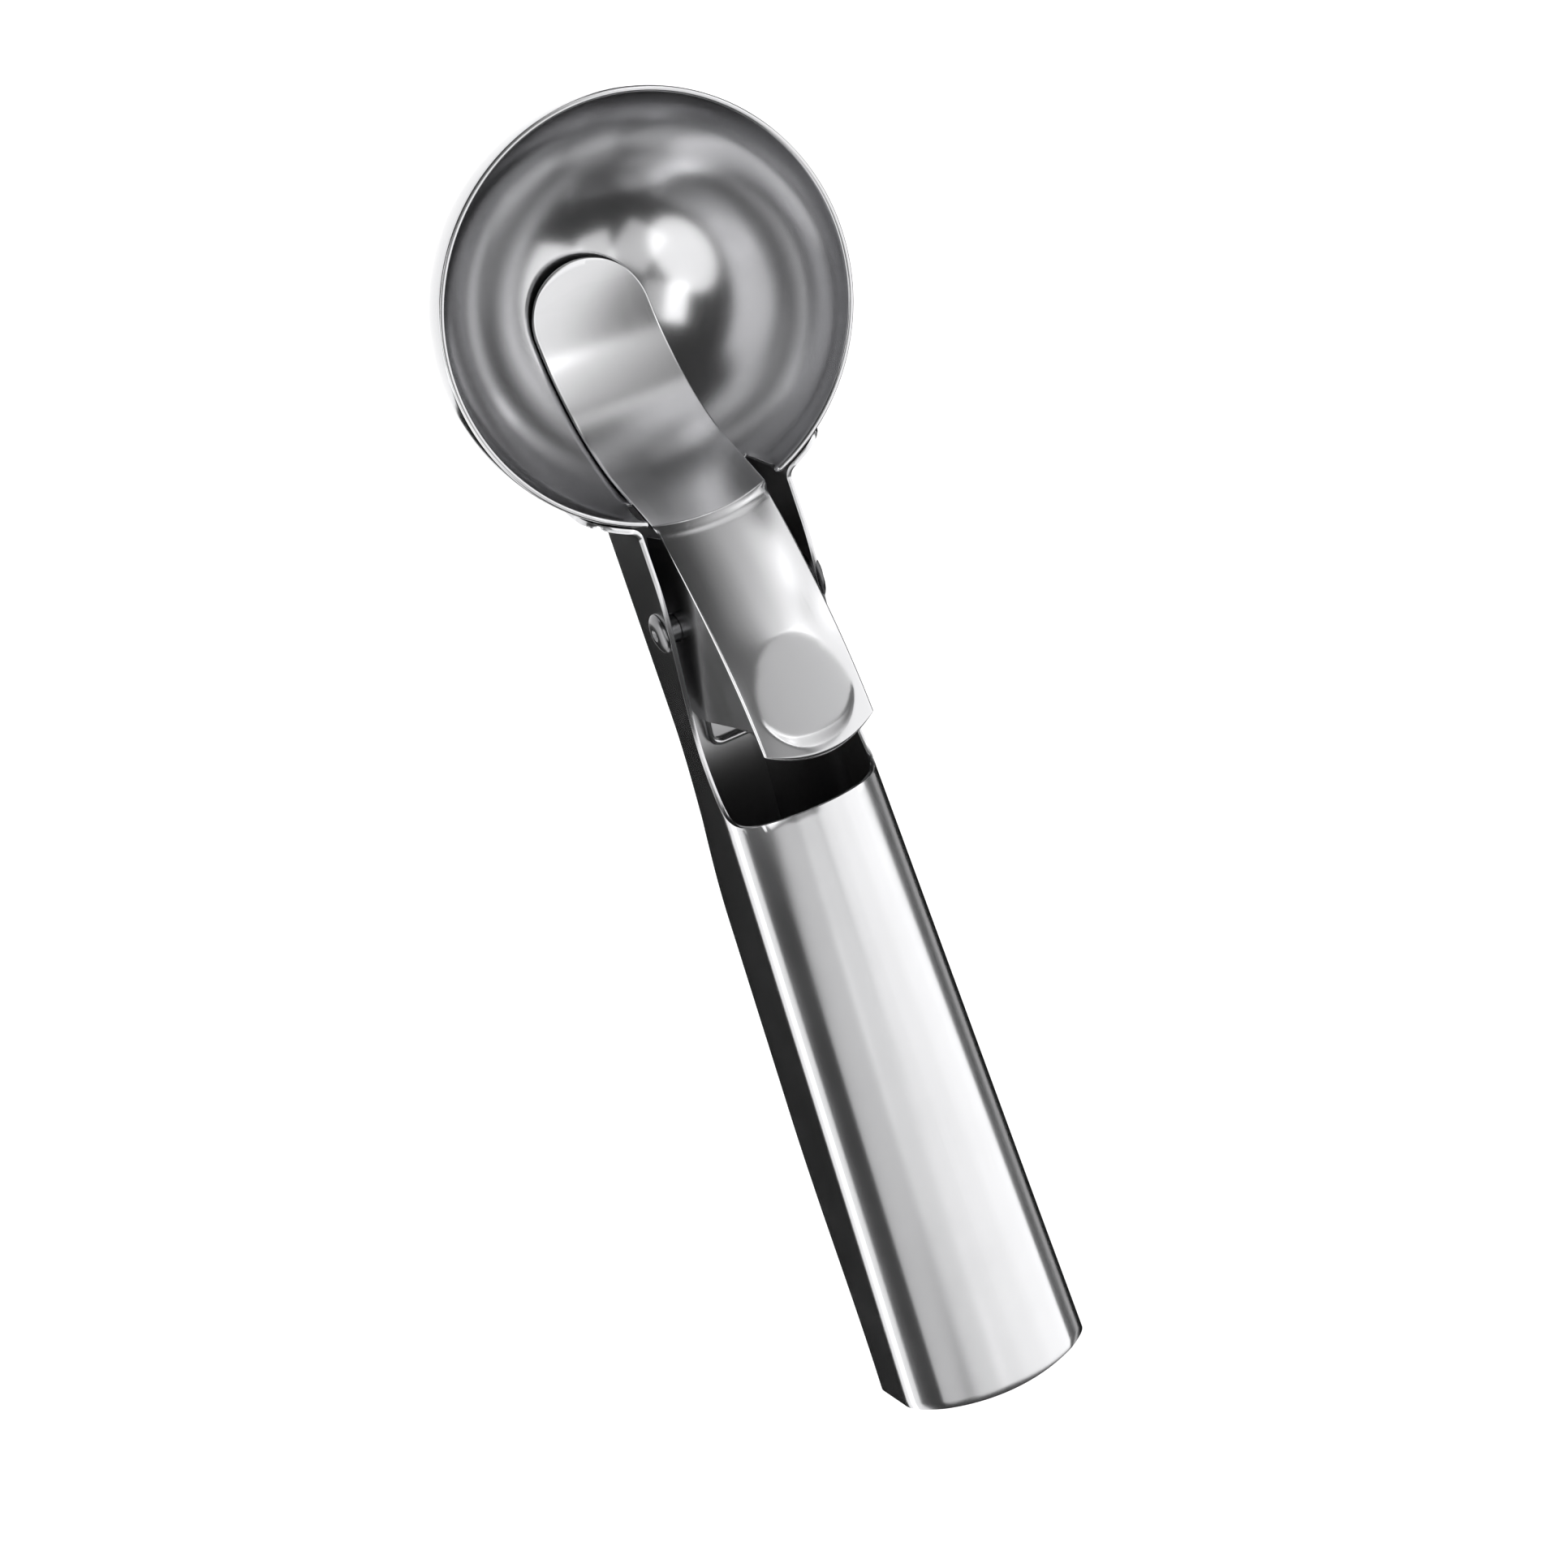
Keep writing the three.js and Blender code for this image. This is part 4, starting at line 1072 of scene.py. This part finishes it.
class SCOOP_OT_pin(bpy.types.Operator):
    """Forms the rivet through both arms, with a domed head on each side"""

    bl_idname = "scoop.pin"
    bl_label = "Pivot pin"

    def execute(self, context):
        size = context.scene.scoop_pin
        finish = context.scene.scoop_finish
        middle = RIM + Vector((PIN_X, 0, PIN_Z))
        bpy.ops.mesh.primitive_cylinder_add(
            vertices=size.sides, radius=size.radius, depth=2 * size.seat, end_fill_type="NGON",
            location=middle, rotation=(math.pi / 2, 0, 0))
        pin = started("pivot_rivet")
        # Its material carries the rivet's darker tint, painted shade for the dark reflections on its head.
        pin.data.materials.append(drawn_steel("rivet_steel_painted_dark", finish.pin, finish))
        bpy.ops.object.transform_apply(location=True, rotation=True, scale=True)
        for side in (-1, 1):
            self.form_head(pin, size, middle, side)
        weld_and_face_out(pin)
        round_edges(pin, size.edge_round)
        smooth(pin, 40)
        dress(pin, "pivot_pin", "handle")
        return {"FINISHED"}

    def form_head(self, pin, size, middle, side):
        """Upsets one end of the shaft into a dome with a shallow hollow in its middle."""
        # The second call also takes the flat ring under the first head, which leaves that head wider
        select_faces(pin, lambda face: face.normal.y * side > END_FACING)
        rings = [(size.head_radius, size.seat)]
        for turn in steps(0, math.pi / 2, size.dome_steps)[:-1]:
            radius = mix(size.head_flat, size.head_radius, math.cos(turn))
            rings.append((radius, size.seat + size.head_height * math.sin(turn)))
        rings.append((size.head_flat * size.hollow_rim, size.seat + size.head_height))
        rings.append((size.head_flat * size.hollow_floor, size.seat + size.head_height - size.hollow))
        radius, y = size.radius, size.seat
        for ring_radius, ring_y in rings:
            bpy.ops.mesh.extrude_region_move(TRANSFORM_OT_translate={"value": (0, side * (ring_y - y), 0)})
            scale = ring_radius / radius
            bpy.ops.transform.resize(value=(scale, 1, scale), center_override=middle)
            radius, y = ring_radius, ring_y
        bpy.ops.object.mode_set(mode="OBJECT")


# Return spring

LEG_SHARES = (0.9, 0.6, 0.3, 0)  # where a free leg's points lie, as shares of its length from its end


def wire_path(size):
    """Points of the wire from one free leg over both coils and the bridge to the other free leg."""
    def touch(x, z, side):
        """Turn round the pin at which a straight leg from a point meets the coil, on one side."""
        across, up = x - PIN_X, z - PIN_Z
        return math.atan2(up, across) + side * math.acos(size.coil_radius / math.hypot(across, up))

    bridge = PIN_X - size.bridge_behind, -size.bridge_depth
    free = PIN_X - size.free_behind, size.free_height
    start = touch(*bridge, 1)
    leave = touch(*free, -1)
    sweep = (leave - start) % math.tau + math.tau * size.turns
    inner_y = size.outer_y - sweep / math.tau * size.pitch
    number = round(sweep / math.tau * size.turn_steps)
    coil = []
    for i in range(number + 1):
        turn = start + sweep * i / number
        x, z = PIN_X + size.coil_radius * math.cos(turn), PIN_Z + size.coil_radius * math.sin(turn)
        coil.append(Vector((x, mix(size.outer_y, inner_y, i / number), z)))
    corner = Vector((bridge[0], size.outer_y, bridge[1]))
    inward = Vector((0, -size.bridge_bend, 0))
    upward = (coil[0] - corner).normalized() * size.bridge_bend
    bend = [corner + inward * (1 - part) ** 2 + upward * part ** 2 for part in steps(0, 1, size.bend_steps)]
    leg_end = Vector((free[0], inner_y, free[1]))
    leg = [leg_end.lerp(coil[-1], part) for part in LEG_SHARES]
    half = [corner + inward] + bend + coil + leg
    other = [Vector((point.x, -point.y, point.z)) for point in reversed(half)]
    return [RIM + point for point in other + half]


class SCOOP_OT_spring(bpy.types.Operator):
    """Winds the return spring: two coils round the pin, a bridge on the floor and two free legs"""

    bl_idname = "scoop.spring"
    bl_label = "Return spring"

    def execute(self, context):
        size = context.scene.scoop_spring
        finish = context.scene.scoop_finish
        bpy.ops.curve.primitive_nurbs_path_add(location=(0, 0, 0))
        curve = bpy.context.object
        points = wire_path(size)
        curve.data.splines.clear()
        line = curve.data.splines.new("POLY")
        line.points.add(len(points) - 1)
        for spot, point in zip(line.points, points):
            spot.co = (*point, 1)
        curve.data.bevel_depth = size.wire / 2
        curve.data.bevel_resolution = size.sides
        curve.data.use_fill_caps = True
        alone(curve)
        bpy.ops.object.convert(target="MESH")
        spring = started("wound_spring")
        weld_and_face_out(spring)
        smooth(spring, 50)
        spring.data.materials.append(drawn_steel("spring_wire_steel", finish.spring, finish))
        dress(spring, "return_spring", None)
        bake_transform(spring)
        return {"FINISHED"}


# Stage

# Azimuth and elevation in degrees, distance, width, height, the brightness of each strip, and whether the
# strips stand side by side or one above the other
SOFTBOXES = {
    "right_softbox": (260, 44.5, 0.9, 1.1, 1.06, (1.25, 1.12, 1.0, 0.9), False),
    "upper_left_softbox": (135, 60.5, 0.9, 0.36, 0.4, (0.55,), False),
    "upper_rear_softbox": (184, 68, 0.9, 0.28, 0.42, (0.7,), False),
    "right_front_softbox": (308, 31, 0.9, 0.29, 0.4, (0.92,), False),
    "front_softbox": (335, 48, 0.9, 0.51, 0.46, (1.08, 0.98, 0.79, 0.56, 0.4, 0.26, 0.16), True),
    "low_front_softbox": (341, 20, 0.9, 0.4, 0.38, (0.72,), False),
    "left_front_softbox": (62, 61, 0.9, 0.33, 0.38, (1.45, 0.42), False),
    "left_softbox": (105, 0, 0.95, 1.4, 0.76, (0.88,), False),
    "zenith_softbox": (90, 89, 1, 0.3, 0.3, (0.25,), False),
}
WHITE_POWER = 4  # watts for each square metre of a softbox that shows as white in a mirror

# X, y, width and depth of each dark card
DARK_CARDS = {
    "left_card": (-0.24, 0.17, 0.42, 0.34),
    "right_card": (0, -1.35, 3, 2.4),
}
CARD_RISE = 0.01
CARD_SHADE = (0.02, 0.02, 0.02)


def matt(name, color):
    """A material without any shine."""
    material = bpy.data.materials.new(name)
    material.use_nodes = True
    shader = material.node_tree.nodes["Principled BSDF"]
    shader.inputs["Base Color"].default_value = (*color, 1)
    shader.inputs["Roughness"].default_value = 1
    shader.inputs["Specular IOR Level"].default_value = 0
    return material


def floor_material(stage):
    """A pale matt floor that shows as white and still takes the scoop's shadow."""
    material = matt("pale_floor", stage.floor_tint)
    tree = material.node_tree
    shader = tree.nodes["Principled BSDF"]
    shader.inputs["Emission Color"].default_value = (1, 1, 1, 1)
    rays = tree.nodes.new("ShaderNodeLightPath")
    seen = maths(tree, "MAXIMUM", rays.outputs["Is Camera Ray"], rays.outputs["Is Glossy Ray"])
    seen = maths(tree, "MAXIMUM", seen, rays.outputs["Is Transmission Ray"])
    tree.links.new(maths(tree, "MULTIPLY", seen, stage.floor_glow), shader.inputs["Emission Strength"])
    return material


def dim_room(stage):
    """A dim room with a lighter ceiling."""
    world = bpy.data.worlds.new("dim_room")
    world.use_nodes = True
    tree = world.node_tree
    parts = tree.nodes.new("ShaderNodeSeparateXYZ")
    tree.links.new(tree.nodes.new("ShaderNodeTexCoord").outputs["Generated"], parts.inputs["Vector"])
    ceiling = ranged(
        tree, parts.outputs["Z"], stage.ceiling_start, stage.ceiling_full,
        stage.room_level, stage.ceiling_level)
    tree.links.new(ceiling, tree.nodes["Background"].inputs["Strength"])
    tree.nodes["Background"].inputs["Color"].default_value = (1, 1, 1, 1)
    return world


def toward(azimuth, elevation):
    """Direction at an azimuth from +X towards +Y and an elevation, in degrees."""
    turn, lift = math.radians(azimuth), math.radians(elevation)
    return Vector((math.cos(turn) * math.cos(lift), math.sin(turn) * math.cos(lift), math.sin(lift)))


def softbox(name, place, target, width, height, brightness, shape="RECTANGLE"):
    """A soft area light at a place, turned to a target. Brightness 1 shows as white in a mirror."""
    data = bpy.data.lights.new(name, "AREA")
    data.shape = shape
    data.size = width
    data.size_y = height
    area = width * height * (math.pi / 4 if shape == "ELLIPSE" else 1)
    data.energy = WHITE_POWER * area * brightness
    light = bpy.data.objects.new(name, data)
    bpy.context.scene.collection.objects.link(light)
    light.location = place
    light.rotation_euler = (place - target).to_track_quat("Z", "Y").to_euler()
    light.visible_camera = False


def graded_softbox(name, azimuth, elevation, distance, width, height, levels, sideways):
    """A softbox turned to the scoop, in strips of their own brightness, from the lowest up or sideways."""
    place = toward(azimuth, elevation) * distance
    facing = place.to_track_quat("Z", "Y")
    outward = facing @ Vector((0, 0, 1))
    along = facing @ Vector((1, 0, 0) if sideways else (0, 1, 0))
    reach = width if sideways else height
    strip = reach / len(levels)
    sizes = (strip, height) if sideways else (width, strip)
    for i, brightness in enumerate(levels):
        middle = place + along * (strip * (i + 0.5) - reach / 2)
        softbox(name, middle, middle - outward, *sizes, brightness)


def dark_card(name, middle, width, depth):
    """A dark card that only shows in the steel."""
    bpy.ops.mesh.primitive_plane_add(size=1, location=middle)
    card = started(name)
    card.scale = (width, depth, 1)
    card.data.materials.append(matt(name, CARD_SHADE))
    card.visible_camera = False
    card.visible_shadow = False
    card.visible_diffuse = False


class SCOOP_OT_stage(bpy.types.Operator):
    """Sets up the pale floor, the soft lights and the camera"""

    bl_idname = "scoop.stage"
    bl_label = "Stage"

    def execute(self, context):
        stage = context.scene.scoop_stage
        bpy.ops.mesh.primitive_plane_add(size=stage.floor_size, location=(0, 0, -stage.floor_drop))
        floor = started("studio_floor")
        floor.data.materials.append(floor_material(stage))
        for name, (x, y, width, depth) in DARK_CARDS.items():
            dark_card(name, (x, y, CARD_RISE - stage.floor_drop), width, depth)
        for name, settings in SOFTBOXES.items():
            graded_softbox(name, *settings)
        softbox(
            "bowl_softbox", Vector((0.034, 0.1, 0.12)), RIM,
            width=0.125, height=0.085, brightness=1.05, shape="ELLIPSE")
        context.scene.world = dim_room(stage)
        context.scene.view_settings.view_transform = "Standard"
        camera_data = bpy.data.cameras.new("photo_camera")
        camera_data.lens = stage.lens
        camera = bpy.data.objects.new("photo_camera", camera_data)
        context.scene.collection.objects.link(camera)
        camera.location = stage.camera_place
        camera.rotation_euler = Euler(stage.camera_turn, "XYZ")
        context.scene.camera = camera
        return {"FINISHED"}


OPERATORS = (
    SCOOP_OT_bowl, SCOOP_OT_handle, SCOOP_OT_lever, SCOOP_OT_pin, SCOOP_OT_spring, SCOOP_OT_stage)
SETTINGS = {
    "scoop_bowl": BowlSizes,
    "scoop_handle": HandleSizes,
    "scoop_lever": LeverSizes,
    "scoop_pin": PinSizes,
    "scoop_spring": SpringSizes,
    "scoop_finish": SteelFinish,
    "scoop_stage": StageSettings,
}


class SCOOP_PT_sidebar(bpy.types.Panel):
    """Lists the scoop's pieces and their sizes"""

    bl_idname = "SCOOP_PT_sidebar"
    bl_label = "Ice Cream Scoop"
    bl_space_type = "VIEW_3D"
    bl_region_type = "UI"
    bl_category = "Scoop"

    def draw(self, context):
        layout = self.layout
        for operator in OPERATORS:
            layout.operator(operator.bl_idname)
        for label, group in SETTINGS.items():
            box = layout.box()
            box.label(text=group.__doc__)
            for field in group.__annotations__:
                box.prop(getattr(context.scene, label), field)


def register():
    for group in SETTINGS.values():
        bpy.utils.register_class(group)
    for operator in OPERATORS:
        bpy.utils.register_class(operator)
    bpy.utils.register_class(SCOOP_PT_sidebar)
    for label, group in SETTINGS.items():
        setattr(bpy.types.Scene, label, PointerProperty(type=group))


def unregister():
    for label in SETTINGS:
        delattr(bpy.types.Scene, label)
    bpy.utils.unregister_class(SCOOP_PT_sidebar)
    for group in (*OPERATORS, *SETTINGS.values()):
        bpy.utils.unregister_class(group)


def main():
    register()
    bpy.ops.scoop.stage()
    bpy.ops.scoop.bowl()
    bpy.ops.scoop.handle()
    bpy.ops.scoop.lever()
    bpy.ops.scoop.pin()
    bpy.ops.scoop.spring()


if __name__ == "__main__":
    main()
